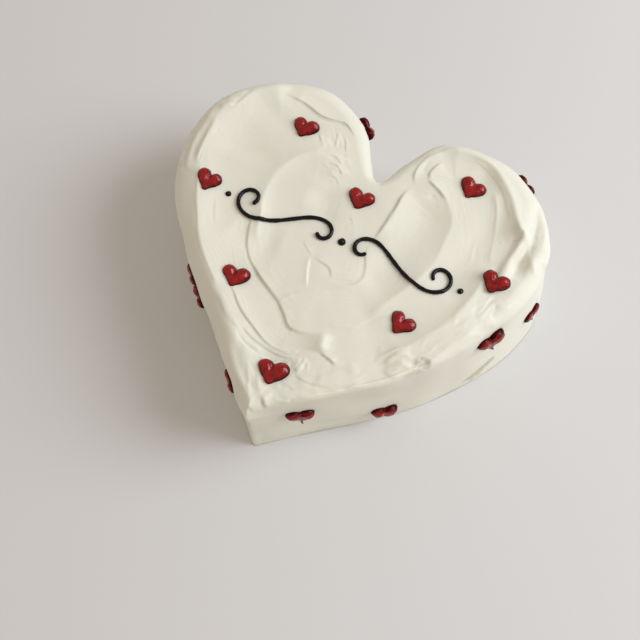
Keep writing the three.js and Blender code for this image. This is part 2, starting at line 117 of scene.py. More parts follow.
# Strokes of the spatula in the cream of the top: the points that each follows, then height, reach and
# roundness on the left and on the right of the way it runs. A roundness of 1 is a sharp crest or step
# and 2 a soft swell or hollow. These are the broad ones that give the top its form.
MAIN_STROKES = [
    # thick rim along the left lobe and the left wall
    (
        [
            (-50, 65), (-57, 62.5), (-66, 55), (-70, 48), (-73.3, 41), (-74.3, 30), (-71.3, 15), (-66, 4),
            (-57.5, -14), (-50.3, -22.5), (-41.5, -31.3), (-33, -38.3), (-27.5, -45), (-21.5, -53),
            (-15, -61), (-9, -66.3), (-3, -70.5),
        ],
        (1.8, 8, 1.8),
        (1.8, 4.6, 1.05),
    ),
    # hollow inside that rim
    ([(-50, 56), (-56, 44), (-55, 22)], (-1.3, 11, 2), (-1.3, 11, 2)),
    # ledge along the top of the left lobe
    (
        [(-53, 60.6), (-44.5, 59.8), (-36, 57.2), (-29, 57), (-22.5, 57.3), (-16, 53)],
        (0.9, 5, 1.1),
        (0, 2, 1),
    ),
    # crest that closes the wide swirl on its upper left
    (
        [
            (-20, 41), (-27, 40), (-33, 36), (-37.6, 28.5), (-39.6, 19), (-38.8, 10), (-36.3, 3),
            (-34.5, -3.5), (-31, -11),
        ],
        (1.4, 3.5, 1),
        (1.4, 6, 1),
    ),
    # loaded patch at the upper end of the swirl, and the hollow below it
    ([(-26, 43), (-18, 39), (-14, 31)], (0.5, 5, 2), (0.5, 5, 2)),
    ([(-19, 27), (-15, 20), (-14, 10)], (-0.7, 6, 2), (-0.7, 6, 2)),
    # hollow at the left of the swirl
    ([(-46, -4), (-36, -6), (-22, -5)], (-0.9, 8, 2), (-0.9, 8, 2)),
    # edge of the wide swirl in the middle of the top, and the deeper step that ends it
    (
        [(-40, 4), (-38.3, -4), (-33.6, -14), (-29, -18.4), (-21.8, -22.9), (-12.7, -27.9)],
        (0.4, 5, 1),
        (-0.1, 3, 1),
    ),
    (
        [
            (-31, -16.5), (-21.8, -22.9), (-12.7, -27.9), (-8.5, -31.7), (-4.5, -35.5), (0.5, -35.6),
            (6.5, -34.3),
        ],
        (0.4, 6, 1),
        (-0.5, 5, 1.5),
    ),
    # steps below that swirl
    (
        [(-36, -28), (-31, -32), (-25.5, -36.8), (-16.4, -42.3), (-7.3, -45.8), (-1, -45.6), (5, -44)],
        (0.6, 3.5, 1),
        (-0.15, 2, 1),
    ),
    ([(-24, -46.5), (-14, -49.6), (-4, -50.3), (5, -50)], (-0.6, 2.5, 1), (0.4, 4, 1.5)),
    # curled edge that starts at the cleft, and the edge that runs on from it down the right lobe
    ([(24, 66), (20, 62.5), (15.8, 58), (13.4, 52), (13.4, 47), (16.4, 41.5)], (1.3, 4, 1), (0.2, 2, 1)),
    ([(15.4, 41.8), (13, 37.5), (12.6, 29), (11.5, 20), (9.6, 11)], (1.2, 4, 1), (0.1, 2, 1)),
    # hollow of the inner disc of the right lobe
    ([(25, 40), (25, 24), (22, 6), (16, -10)], (-0.9, 7, 2), (-0.9, 7, 2)),
    # crest round that disc
    (
        [
            (15, 48.5), (21, 46.6), (26, 44.6), (32, 40.5), (35.7, 34), (37, 25), (36.3, 13), (32.5, 1),
            (27, -9), (21, -20),
        ],
        (1.2, 6, 1),
        (1.2, 3.5, 1),
    ),
    # hollow round the disc
    ([(34, 60), (45, 54), (52, 42), (52, 29), (47, 14), (43, 0)], (-1.0, 8, 2), (-1.0, 8, 2)),
    # crest on the lower right of that hollow
    (
        [(58.5, 24), (57.5, 12), (55.5, 3), (53, -5), (49.5, -12), (45, -18.5), (39.5, -25.5), (32, -33)],
        (1.7, 6, 1.2),
        (1.7, 3.6, 1),
    ),
    # high rim of the right lobe, steep on its inner side
    (
        [
            (19, 61.5), (24, 65), (31.8, 66.2), (40, 64.5), (47.3, 60.2), (52.4, 55.6), (56.8, 50),
            (60, 45), (62.8, 41), (66, 39), (66.6, 35.5),
        ],
        (2.9, 5, 1.1),
        (2.9, 3.6, 0.9),
    ),
    # thin ridge that runs on from that rim
    (
        [(60.5, 44.5), (63, 41), (65.4, 38.6), (65.5, 35), (65, 30), (64.3, 25), (63.4, 18), (61.5, 10)],
        (2.5, 1.7, 2),
        (2.5, 1.9, 2),
    ),
    # hollow behind that rim, and the two folds on its far side
    (
        [(64.5, 58), (66.9, 51.5), (68.6, 45), (68.9, 39.5), (68, 34), (67.6, 28), (67.4, 20)],
        (-2, 2.7, 2),
        (-2, 2.7, 2),
    ),
    ([(64, 61), (69.5, 55), (73.2, 48.5), (74.4, 42), (73.4, 35.5)], (1.9, 3.4, 1), (1.9, 2.2, 1.2)),
    ([(69.4, 37), (70.4, 33.5), (73, 29.7), (76, 26), (77.6, 19)], (1.1, 3, 1), (1.1, 2.4, 1.2)),
    # edge of the loaded end of a stroke near the point
    ([(9.2, -31.2), (10.3, -36), (11.4, -40.4)], (1.7, 2, 1.3), (1.7, 4.5, 1.2)),
    # crease inside the left rim near the point
    (
        [(-24.5, -46.5), (-19, -53), (-12.8, -60), (-6.6, -64.8), (-1.5, -68)],
        (-1.2, 2.4, 1.5),
        (-1.2, 1.8, 1.5),
    ),
    # ledge that closes the swirl on its lower right
    (
        [(9.3, 12), (9.8, 6), (12, 0.5), (13, -4.5), (10.8, -8.3), (5.5, -10.8), (1, -11.2)],
        (0.45, 3.5, 1),
        (-0.1, 2, 1),
    ),
]
# The length over which a stroke fades at its ends, at most this share of the whole stroke, and how
# rounded its line is.
MAIN_FADE = 9
SHORTEST_FADE = 0.3
MAIN_SOFTNESS = 0.5

# Fine marks: the points that each follows, then height and reach on its left and on its right.
FINE_STROKES = [
    # torn outer ridges of the left lobe
    ([(-65.6, 57), (-68, 51), (-70.4, 45.2)], (0.3, 2), (-0.8, 2)),
    ([(-70.2, 45.2), (-72.5, 43.4), (-75, 42)], (-0.3, 1.2), (0.4, 2)),
    ([(-80, 36.5), (-79, 41.5), (-77, 46.5), (-73, 50.5), (-67, 55.5)], (0.6, 1.2), (0.6, 1.2)),
    ([(-83.6, 32), (-83.2, 26), (-82, 19.5), (-78.6, 12), (-74.5, 6.6)], (0.55, 1.4), (0.55, 1)),
    (
        [(-77, 42), (-78.2, 35), (-78.7, 28), (-77.9, 20.6), (-75.9, 14.1), (-72.8, 8.3)],
        (0.75, 1.4),
        (0.75, 1),
    ),
    ([(-75.2, 36), (-76.2, 29), (-75.8, 21), (-74, 14)], (-0.7, 1), (-0.7, 1)),
    ([(-81, 30), (-80.9, 23), (-79, 15.5)], (-0.5, 0.9), (-0.5, 0.9)),
    ([(-73.8, 37), (-74, 28), (-73.2, 21), (-72.4, 15)], (0.4, 1.2), (0.2, 0.8)),
    # crisp inner side of the left rim's crest
    ([(-70, 13), (-67, 5.2), (-61.4, -5.5), (-53.3, -18.7), (-46.6, -25.3), (-38, -32.8)], (0.6, 4), (0, 1)),
    ([(-37, -33.8), (-32.4, -38.2), (-28.2, -42.8)], (0.35, 2.4), (-0.15, 1)),
    # small ridge at the start of the ledge, and short streaks below it
    ([(-53, 60.2), (-49, 60.4), (-44, 59.8)], (0.4, 1.2), (0.2, 1.2)),
    ([(-32, 49), (-29, 45.5), (-26, 42.3)], (0.4, 1.4), (-0.2, 1)),
    ([(-24.5, 53.5), (-22.5, 45)], (0.3, 1.2), (-0.15, 1)),
    ([(-20.5, 52), (-17, 45)], (0.3, 1.2), (-0.15, 1)),
    # short folds of the loaded patch
    ([(-25, 40.5), (-20, 41), (-15, 38)], (0.3, 1.6), (-0.2, 1)),
    ([(-22, 36.5), (-18, 37.5), (-13.5, 33.5)], (0.3, 1.4), (-0.2, 1)),
    ([(-20, 31.5), (-16, 32), (-13, 29)], (0.25, 1.4), (-0.15, 1)),
    # soft crest within the swirl, and faint streaks at its left
    ([(-22, 30), (-24, 22), (-22, 12)], (0.2, 4), (0.2, 4)),
    ([(-39.5, 2), (-37.5, -8), (-34, -14.5)], (0.15, 1.5), (-0.1, 1.5)),
    ([(-57, 3), (-54.5, -3), (-51.5, -9)], (0.15, 1.5), (-0.1, 1.5)),
    # small ridge on the swirl's ledge
    ([(-8.8, -22), (-11.5, -25), (-13, -28.2)], (0.5, 1.4), (0.2, 1.2)),
    ([(-11.5, -25), (-9, -22), (-5.5, -19.5), (-1, -17), (5, -15)], (0, 1), (0.3, 4)),
    # thin steps between the swirl and the point
    ([(-40, -34), (-30, -41), (-20, -46)], (0.25, 2.5), (-0.15, 1.2)),
    ([(-22, -43), (-15, -46), (-5, -47.5), (3, -46.5)], (0.35, 2), (-0.25, 1)),
    ([(-21.5, -47.2), (-15, -49), (-8.5, -50.4)], (0.5, 1.5), (-0.4, 1.2)),
    ([(4.5, -51.8), (10, -53), (16, -52.3), (22, -51)], (0.35, 1.6), (-0.25, 1.4)),
    # folds that run down to the point
    ([(-9, -58), (-4, -63), (0.5, -67)], (0.3, 3), (0.3, 2)),
    ([(-2.4, -64.9), (-0.3, -67), (1.9, -69), (4.6, -71.4)], (0.9, 2.2), (-0.5, 1.3)),
    ([(-24, -53), (-17, -60), (-10, -66.5)], (0.3, 2.4), (-0.3, 1.6)),
    ([(7.6, -61.6), (9, -63.2), (10.2, -64.8)], (-0.5, 0.9), (0.7, 1.4)),
    ([(10.2, -64.8), (11.4, -64.2), (12.8, -63.2)], (0.7, 1.4), (-0.4, 0.9)),
    ([(1.5, -58), (5, -57), (9, -58.5)], (0.35, 1.6), (-0.3, 1.2)),
    ([(-7, -70.5), (-2, -72), (2.5, -71.5)], (0.4, 1.5), (-0.3, 1.2)),
    # small three-cornered facet in the middle
    ([(-10, -4), (-8, -11), (-5, -18)], (-0.25, 3), (0.35, 1.5)),
    ([(-9, -5), (-3, -5.5), (0, -7), (2, -11)], (0.35, 2.5), (-0.25, 2)),
    ([(2, -10), (10, -7)], (0.15, 1.5), (-0.15, 1)),
    ([(-16, 0.5), (-9, -4.5)], (0.2, 1.2), (0, 1)),
    ([(-7, 25), (0, 15), (4, 4)], (0.15, 4), (0.1, 4)),
    # curl at the cleft
    ([(22, 58), (19.8, 54), (19, 49.5), (21, 47)], (0.7, 3.5), (-0.1, 1)),
    ([(17, 57), (16.3, 52), (17, 48.5)], (-0.3, 1), (-0.3, 1)),
    ([(18, 48), (21.5, 46.2), (26, 44), (30, 41)], (0.3, 2), (-0.5, 2)),
    ([(23, 42), (25, 39.5)], (-0.4, 0.8), (-0.2, 0.8)),
    # thin crest in the hollow of the right lobe
    ([(47, 54), (50.9, 47), (53.6, 39), (55.5, 31), (57, 22)], (0.35, 1.4), (0.5, 1)),
    # streaks on the steep inner side of the high rim
    ([(34, 63.5), (42, 60.5), (48.4, 56), (53.6, 49.5), (58, 42)], (0.12, 1.6), (-0.12, 1.4)),
    ([(63, 43.5), (63.9, 41.4), (64, 38.6), (63.4, 35)], (0, 1), (-0.3, 1.1)),
    # valley and ridges of the right rim's outer fold
    ([(64.5, 58.5), (66.8, 52.5), (68.3, 47.5), (69, 43), (68.6, 38.5)], (-0.9, 1.3), (-0.7, 1.6)),
    ([(66, 61), (70, 56), (73, 50.5), (75.4, 43.5), (76.9, 37), (77.8, 30)], (0.7, 1.6), (1.2, 1.2)),
    ([(69.5, 51.5), (71.4, 46.5), (72.6, 41.5), (73.4, 37)], (0.3, 1.2), (-0.3, 1.1)),
    ([(68.4, 37.5), (68.3, 32.5), (67.4, 27), (66.6, 20)], (-0.8, 2.4), (-0.7, 0.9)),
    ([(68.2, 37.5), (70.3, 33), (72.1, 30.3), (73.8, 28.1), (76.5, 25)], (0.5, 2.4), (0.9, 0.9)),
    # low places below the right rim
    ([(65.5, 8), (66.7, 4.5), (66, 0.5)], (-0.5, 1.2), (-0.5, 1.4)),
    ([(63, 10), (62.5, 5), (61, 0)], (-0.3, 2), (0.2, 2)),
    ([(68.5, -2), (71, 1.5), (72.5, 4)], (0.4, 1.2), (-0.4, 1.2)),
    # marks near the front edge
    ([(8.5, -29.2), (12.5, -28.2), (18.3, -25.2)], (0.3, 1.8), (-0.3, 1.2)),
    ([(18.3, -25.2), (22.5, -21), (27, -15)], (0.15, 1.8), (-0.15, 1.4)),
    ([(13, -51), (22, -49), (31, -44.2)], (0.45, 5), (0.45, 3)),
    ([(26.5, -50.3), (30, -47), (35.6, -44.6)], (0.35, 1.4), (-0.35, 1)),
    ([(9, -61), (16, -57), (26, -50.6), (34, -43.8)], (0.3, 1.4), (0.15, 0.8)),
    ([(34, -43.8), (42.4, -36.6), (51, -28.4), (58, -19.5)], (0.3, 1.2), (0.15, 0.8)),
    ([(46.4, -26.2), (49, -25.6), (52.6, -25.4)], (0.3, 1.2), (-0.5, 1)),
    ([(49.3, -30), (51, -28), (52.6, -26.2)], (-0.8, 0.8), (-0.4, 0.8)),
    # torn flap beside the swirl's end
    ([(10.4, -40), (14.5, -40.8), (19.5, -42.2)], (0.8, 1.8), (-0.35, 1)),
    ([(7, -44), (6, -48), (4.5, -51)], (0.5, 1.2), (0.1, 1.4)),
]
FINE_FADE = 4
FINE_SOFTNESS = 0.3
# A stroke's left side passes into its right side this close to its line, and both end at so many times
# their reach.
STROKE_EDGE = 0.42
STROKE_CUTOFF = 3.5

# How far a stroke's line wanders and by what share its height swings, and the length of both.
STROKE_WANDER = 0.1
WANDER_LENGTH = 12
STROKE_SWING = 0.15
SWING_LENGTH = 26

# Faint ripples that a spatula leaves beside its strokes, as lines that run along with them. They lie
# in patches, and wander more than the strokes do.
RIPPLE_HEIGHT = 0.022
RIPPLE_LENGTHS = (1.3, 2.1, 3.4)
RIPPLE_REACH = 9
RIPPLE_PATCH = 14
RIPPLE_WANDER = 1.5
RIPPLE_WANDER_LENGTH = 24

# Places where the cream tore and was drawn out into lumps: place, radius, height of the lumps, how far
# their middle stands above or below the cream around them, length and width of a lump, and the way they
# are drawn, in degrees.
TORN_SPOTS = [
    (-73.5, 47, 5, 0.12, 0.05, 6, 1.8, 62),
    (-77.5, 30, 6, 0.1, 0, 9, 1.6, 85),
    (-77, 15, 5.5, 0.08, 0, 9, 1.6, 108),
    (-17.5, 37, 5.5, 0.1, 0, 5, 2.4, 150),
    (-25, 48, 6, 0.05, 0, 6, 2.4, 110),
    (5.5, -47.5, 4, 0.16, 0.2, 4, 2.8, 60),
    (39.5, -31.5, 6, 0.14, 0.35, 6, 2.6, 42),
    (48.5, -29, 3.4, 0.2, -0.3, 3.4, 1.4, 40),
    (50, -22, 7, 0.08, 0, 9, 3, 46),
    (24, -46, 8, 0.08, 0.1, 9, 2.6, 34),
    (60, -8, 7, 0.08, 0, 9, 3, 60),
    (66, 4, 7, 0.1, 0, 6, 2.6, 70),
    (72, 46, 6, 0.07, 0, 10, 1.5, 112),
    (73, 33, 6, 0.07, 0, 10, 1.5, 105),
    (-6, -60, 8, 0.08, 0, 10, 2.6, -48),
    (4, -66, 6, 0.1, 0, 5, 2.6, 35),
    (14, -58, 7, 0.08, 0.1, 7, 2.6, 36),
]
# Sizes of the lumps as shares of the ones above, how far their lines drift and over what length, by what
# share the edge of a spot swings, and the shares of its radius where it starts to fade, where it ends, and
# beyond which nothing is looked at.
TORN_LUMP_SIZES = (1, 0.4)
TORN_DRIFT = 0.6
TORN_DRIFT_LENGTH = 8
TORN_EDGE_SWING = 0.2
TORN_FULL = 0.6
TORN_END = 1.3
TORN_CUTOFF = 1.5

# Uneven places on the wall: place at the foot, height, half length and half width, slant and depth.
# A negative depth is a lump.
WALL_MARKS = [
    # side that the camera sees, then the far side
    (70.7, -4.7, 9, 6, 2, 27, 0.9),
    (70, -6, 5, 6, 1.8, 27, -0.5),
    (-80, 6, 36, 9, 4, 30, -0.5),
    (-74, -4, 40, 9, 4.5, 20, -0.3),
    (-66, -14, 33, 10, 5, -15, 0.9),
    (-58, -24, 46, 9, 4, 15, -0.8),
    (-50, -31, 37, 8, 4, 30, 0.9),
    (-43, -38, 45, 9, 4, 12, -1.0),
    (-37, -44, 33, 10, 5, -20, 0.9),
    (-27, -54, 42, 9, 4, 15, -0.9),
    (-20, -60, 32, 8, 4, 40, 0.9),
    (-12, -69, 42, 7, 4, 30, -1.4),
    (-9, -72, 31, 7, 5, 40, 1.2),
    (-6, -74, 20, 5, 5, 20, 0.6),
    (-3, -73, 42, 6, 3, -8, -1.2),
    (3, -69, 35, 6, 3, 0, 0.7),
    (8, -65, 46, 6, 2.4, 15, -0.4),
    (14, -60, 8, 10, 5, 5, -0.4),
    (40, -40, 30, 14, 10, 10, 0.35),
    (76, 5, 36, 9, 5, 30, -0.5),
    (72, -3, 25, 8, 5, 30, 0.45),
    (-84, 40, 34, 12, 4, 12, 0.6),
    (-72, 60, 38, 10, 3, -10, -0.6),
    (-52, 71, 14, 14, 4, 8, 0.6),
    (-42, 73, 35, 13, 3.5, 15, 0.7),
    (-26, 69, 26, 11, 4, -20, -0.6),
    (-10, 55, 20, 10, 4, 20, 0.6),
    (10, 60, 36, 9, 3.5, 20, 0.6),
    (24, 72, 20, 12, 4, -12, 0.7),
    (44, 74, 38, 13, 3.5, 10, -0.6),
    (55, 71, 18, 13, 3.5, 14, 0.7),
    (66, 63, 34, 10, 4, -15, 0.6),
    (80, 45, 38, 9, 3.5, 20, -0.5),
    (83, 37, 12, 10, 3.5, 5, 0.5),
]
# Waves of the whole wall: height, size along the wall and size up it.
WALL_WAVES = [(0.3, 26, 30), (0.06, 34, 8), (0.02, 20, 3)]

# Painted shade: places where the cream's colour is made greyer to stand for the shade in a dent of the wall
# and in a torn notch of the front edge: from, to, radius and strength.
PAINTED_SHADE_SPOTS = [
    ((67.8, -9.8, 6), (73.2, 0.3, 12), 2.1, 1.0),
    ((46.1, -27.7, 53.5), (51.4, -27.2, 52.8), 1.3, 0.8),
    ((48.5, -31, 52.1), (46, -33.5, 52), 1.6, 0.5),
]
# By what share of its radius the edge of a spot of painted shade swings and over what length, where it fades
# in as shares of that radius, and what the painted shade does to the cream's colour.
SHADE_SPOT_SWING = 0.25
SHADE_SPOT_SWING_LENGTH = 2.5
SHADE_SPOT_FADE = (1.5, 0.5)
SHADE_SPOT_TINT = (0.7, 0.69, 0.61)

# Slow unevenness of the whole top: height and size of its waves.
TOP_WAVES = [(0.25, 30), (0.025, 9)]
# Over this width along the edge, the unevenness of the wall gives way to that of the top.
EDGE_BLEND = 5
# Marks on the wall fade in over this height above the floor, and fine marks on the top over this width
# in from the edge.
MARK_START = 1.5

# How many points the foot and a stroke have between two points of their tables, and how many the line
# along the top of the wall has in all.
FOOT_SPAN_POINTS = 200
STROKE_SPAN_POINTS = 5
WALL_TOP_POINTS = 480
# The flattest crossing of a spoke and the edge that is reckoned with, as the cosine of its slant.
LEAST_CROSSING = 0.35
# So many points are looked at in one go, which saves memory.
BATCH = 2000
# Shorter lengths count as this one, so that nothing is divided by zero.
SHORTEST = 1e-9

# First seeds of the random fields and of the random draws.
SEEDS = {
    "main stroke": 500,
    "fine stroke": 700,
    "ripple": 100,
    "ripple wander": 50,
    "ripple patch": 60,
    "torn lump": 200,
    "torn drift": 900,
    "torn edge": 940,
    "wall wave": 300,
    "top wave": 400,
    "thin spot": 970,
    "heart lump": 900,
    "heart ridge": 950,
    "top heart": 10,
    "wall heart": 40,
    "drop": 70,
    "top placing": 21,
    "wall placing": 22,
}

# A piped heart 1 wide is two teardrops side by side, round at the head and drawn out to a tail. For each
# half: its side, how much higher it lies, and where its tail ends. The second half laps over the first.
HEART_HALVES = [(-1, 0.0, 0.01), (1, 0.035, -0.01)]
HEART_HEAD = {"x": 0.245, "y": 0.14, "radius": 0.258}
HEART_TAIL = {"y": -0.3, "lift": 1.3, "radius": 0.11, "wander": 0.02}
HEART_NARROWING = 1.7
HEART_FLATNESS = 0.88
# The teardrops blend by the first of these at their heads and by the second at their tails, between
# these two places along the heart.
HEART_BLEND = (0.018, 0.045)
HEART_BLEND_Y = (0.1, -0.25)
# The short tip that was pulled off with the bag on some hearts: from, to, and the radii there.
HEART_SPUR = ((0.0, -0.33, 0.1), (0.02, -0.4, 0.25), 0.055, 0.015)
# Icing gets painted shade on its steep sides: it keeps its full colour where its normal points up by more
# than the second of these, and is painted darkest below the first. A spur is painted darker too, from its end
# to where it leaves the heart, and a drop is painted darker low down.
RISE_NORMALS = (0.3, 0.8)
SPUR_DARKNESS = 0.3
SPUR_Y = (-0.4, -0.32)
DROP_RISE = 0.4
# Height and size of a heart's lumps, and of the ridges that run along each half. A ridge is so many times
# longer than wide. The halves lean to the middle by this slope, which turns over in this width.
HEART_LUMPS = (0.004, 0.25)
HEART_RIDGES = (0.006, 0.085)
RIDGE_STRETCH = 4
HALF_SLOPE = (0.5, 0.87)
HALF_TURNOVER = 0.08
# A heart is cut off flat this far below the place it lies on.
HEART_SUNK = 0.08
# Where the rays start that find a heart's surface, the distances they try, and how often they halve.
HEART_CORE = (0, -0.04, 0.02)
RAY_REACH = (0.02, 0.75)
RAY_STEPS = 90
RAY_HALVINGS = 8

# Turns of the hearts on the top, in degrees, and their lengths as shares of their widths, in the order
# of their nodes. Then the same for the depths of the hearts on the wall.
TOP_HEART_TURNS = (-2, -9, -2, 0, -9, 6, -17, 6)
TOP_HEART_LENGTHS = (0.92, 0.95, 0.95, 1.05, 0.9, 0.97, 0.97, 0.9)
SIDE_HEART_DEPTHS = (1.1, 1, 0.65, 0.95, 1.15, 0.95, 0.85, 0.9, 0.8, 0.9, 1, 0.95, 0.9, 0.95)
# A heart's height as a share of its width, which gives the width of one whose height is known.
HEART_HEIGHT_SHARE = 0.8
# The one shape of the wall's hearts that has no spur.
SPURLESS_SHAPE = 4
# Between what shares of their widths the depths of the top's hearts and the lengths of the wall's vary, the
# most that a heart on the wall is turned, in degrees, and by what share those hearts' colour is painted
# darker than the top's, as painted shade.
TOP_HEART_DEPTHS = (0.9, 1.02)
WALL_HEART_LENGTHS = (0.97, 1.07)
WALL_HEART_TURN = 8
WALL_SHADE = 0.95
# How much of the cream's own slope a heart doesn't follow.
HEART_LEVELLING = 0.5

# The piped scroll: two mirrored S-shaped lines with curled ends, and three drops. The lines start at the
# gap from the middle, and are tilted by so many degrees where their two arms meet. Each arm turns by its
# curl in all, and the higher the tightening, the straighter the line stays near that place.
SCROLL_X = -1
SCROLL_Y = 6.5
SCROLL_GAP = 5.5
SCROLL_TILT = -32
SCROLL_TIGHTENING = 2.6
INNER_ARM = {"length": 29, "curl": 290}
OUTER_ARM = {"length": 45, "curl": 360}
SCROLL_STEPS = 600
# A line's middle lies above the cream by this share of its thickness. Its points are this far apart.
SCROLL_RISE = 0.3
SCROLL_SPACING = 0.22 * MM
# A drop 1 wide: how high its dome and how low its underside are as shares of a ball, its peak's height
# and width, the most that the peak leans, and the height and size of its lumps. Each drop is turned on
# from the last by so many degrees.
DROP_DOME = 0.85
DROP_UNDERSIDE = 0.4
DROP_PEAK = (0.13, 0.13)
DROP_LEAN = 0.08
DROP_LUMPS = (0.012, 0.5)
DROP_SUBDIVISIONS = 4
DROP_TURN = 100

# Rays that look for the cream start this far above the floor, or this far out from the wall.
RAY_HEIGHT = 0.2
RAY_OUTSIDE = 0.02
UP = Vector((0, 0, 1))

# The camera of the photograph, in the drawing frame.
CAMERA_PLACE = (66.645, -143.231, 401.381)
CAMERA_RIGHT = (0.90348753, 0.42827816, -0.01697336)
CAMERA_UP = (-0.39569854, 0.84866799, 0.35097766)
CAMERA_LENS = 52.92
CAMERA_SENSOR = 36
CAMERA_NEAR = 0.01

# The floor's half width, the soft light's place, aim, width and colour, and the colour of the light
# from all round.
FLOOR_HALF = 3.0
LAMP_PLACE = (0.90, 0.42, 0.825)
LAMP_AIM = (0, 0, 0.03)
LAMP_WIDTH = 0.9
LAMP_COLOUR = (0.92, 1.0, 1.11)
SKY_COLOUR = (1.0, 0.89, 0.80, 1)

# Sockets of a colour mix node.
MIX_SHARE = 0
MIX_FIRST = 6
MIX_SECOND = 7
MIX_RESULT = 2


def colour_property(name, description, default):
    """A colour that the panel shows."""
    return FloatVectorProperty(name=name, description=description, subtype="COLOR", size=3, default=default)


class CreamSettings(bpy.types.PropertyGroup):
    """Sizes and colour of the smoothed cream."""

    spokes: IntProperty(name="Spokes", description="Points round the wall", default=760, min=64)
    wall_steps: IntProperty(name="Wall Steps", description="Rows of faces up the wall", default=24, min=2)
    round_steps: IntProperty(
        name="Rounding Steps", description="Rows over the rounded edge", default=16, min=2
    )
    top_steps: IntProperty(
        name="Top Steps", description="Rows from the edge to the middle", default=158, min=8
    )
    mark_strength: FloatProperty(
        name="Mark Strength", description="How deep the fine marks of the spatula are", default=1.0, min=0
    )
    colour: colour_property("Cream Colour", "Colour of the cream", (0.83, 0.812, 0.69))


class HeartSettings(bpy.types.PropertyGroup):
    """Form and colour of the piped hearts."""

    fineness: IntProperty(name="Fineness", description="Subdivisions of each heart", default=5, min=3, max=6)
    shapes: IntProperty(name="Shapes", description="How many different hearts are piped", default=7, min=1)
    unevenness: FloatProperty(
        name="Unevenness", description="Share by which the hearts differ", default=0.06, min=0, max=0.3
    )
    colour: colour_property("Icing Colour", "Colour of the hearts", (0.34, 0.005, 0.004))


class ScrollSettings(bpy.types.PropertyGroup):
    """Form and colour of the piped scroll."""

    thickness: FloatProperty(
        name="Thickness",
        description="Thickness of the piped line",
        default=1.7 * MM,
        unit="LENGTH",
        subtype="DISTANCE",
    )
    sides: IntProperty(name="Sides", description="Points round the piped line", default=14, min=6)
    unevenness: FloatProperty(
        name="Unevenness", description="Share by which the line's thickness swings", default=0.5, min=0, max=1
    )
    colour: colour_property("Icing Colour", "Colour of the scroll", (0.008, 0.007, 0.006))


class StageSettings(bpy.types.PropertyGroup):
    """Floor and lights."""

    floor_colour: colour_property("Floor Colour", "Colour of the floor", (0.72, 0.71, 0.69))
    key_power: FloatProperty(
        name="Key Power", description="Power of the soft light", default=11.6, unit="POWER"
    )
    fill_strength: FloatProperty(
        name="Fill", description="Strength of the light from all round", default=0.52
    )


def smooth(values):
    """Smooth step from 0 to 1 over the range from 0 to 1."""
    share = np.clip(values, 0, 1)
    return share * share * (3 - 2 * share)


def ramp(values, start, end):
    """Smooth step from 0 at the start to 1 at the end."""
    return smooth((values - start) / (end - start))


def mix(start, end, share):
    """Straight blend from start to end."""
    return start + (end - start) * share


def smooth_curve(knots, closed, per_span):
    """Points of a centripetal Catmull-Rom curve through the knots."""
    knots = np.array(knots, float)
    if closed:
        padded = np.vstack([knots[-1:], knots, knots[:2]])
    else:
        padded = np.vstack([2 * knots[:1] - knots[1:2], knots, 2 * knots[-1:] - knots[-2:-1]])
    spans = np.sqrt(np.maximum(np.linalg.norm(np.diff(padded, axis=0), axis=1), SHORTEST))
    share = np.linspace(0, 1, per_span, endpoint=False)[:, None]
    points = []
    for number in range(len(padded) - 3):
        before, start, end, after = padded[number : number + 4]
        step_in, step, step_out = spans[number : number + 3]
        leave = (start - before) / step_in - (end - before) / (step_in + step) + (end - start) / step
        arrive = (end - start) / step - (after - start) / (step + step_out) + (after - end) / step_out
        points.append(
            (2 * share**3 - 3 * share**2 + 1) * start
            + (share**3 - 2 * share**2 + share) * leave * step
            + (3 * share**2 - 2 * share**3) * end
            + (share**3 - share**2) * arrive * step
        )
    if not closed:
        points.append(knots[-1:])
    return np.concatenate(points)


def foot_points(count):
    """Evenly spaced points round the foot of the wall, and the directions out of the cake."""
    dense = smooth_curve(FOOT_OUTLINE, closed=True, per_span=FOOT_SPAN_POINTS)
    ring = np.vstack([dense, dense[:1]])
    travelled = np.concatenate([[0], np.cumsum(np.linalg.norm(np.diff(ring, axis=0), axis=1))])
    wanted = np.linspace(0, travelled[-1], count, endpoint=False)
    points = np.column_stack([np.interp(wanted, travelled, ring[:, axis]) for axis in (0, 1)])
    along = np.roll(points, -1, axis=0) - np.roll(points, 1, axis=0)
    along /= np.linalg.norm(along, axis=1)[:, None]
    return points, np.column_stack([along[:, 1], -along[:, 0]])


def edge_shape(points):
    """Top height, rounding inwards and downwards, and lean of the edge at the bearings of points."""
    bearing = np.degrees(np.arctan2(points[:, 1], points[:, 0])) % FULL_TURN
    table = np.array(EDGE_SHAPES + [(EDGE_SHAPES[0][0] + FULL_TURN, *EDGE_SHAPES[0][1:])], float)
    after = np.searchsorted(table[:, 0], bearing, side="right")
    before = after - 1
    share = smooth((bearing - table[before, 0]) / (table[after, 0] - table[before, 0]))
    return mix(table[before, 1:], table[after, 1:], share[:, None]).T


def wall_top_line():
    """The closed line along the top of the wall."""
    foot, out = foot_points(WALL_TOP_POINTS)
    lean = edge_shape(foot)[3]
    line = foot - out * lean[:, None]
    return np.vstack([line, line[:1]])


def nearest_on_line(line, points):
    """Distance to a line of points, how far along it the nearest place is, whether it is on the left, and
    the line's length."""
    starts = line[:-1]
    steps = np.diff(line, axis=0)
    lengths = np.maximum(np.linalg.norm(steps, axis=1), SHORTEST)
    travelled = np.concatenate([[0], np.cumsum(lengths)])
    found = []
    for first in range(0, max(len(points), 1), BATCH):
        offset = points[first : first + BATCH, None] - starts[None]
        share = np.clip((offset * steps).sum(axis=2) / lengths**2, 0, 1)
        gap = offset - share[..., None] * steps
        distance = np.hypot(gap[..., 0], gap[..., 1])
        best = distance.argmin(axis=1)
        row = np.arange(len(best))
        side = steps[best, 0] * offset[row, best, 1] - steps[best, 1] * offset[row, best, 0]
        along = travelled[best] + share[row, best] * lengths[best]
        found.append(np.column_stack([distance[row, best], along, side > 0]))
    distance, along, left = np.concatenate(found).T
    return distance, along, left > 0.5, travelled[-1]


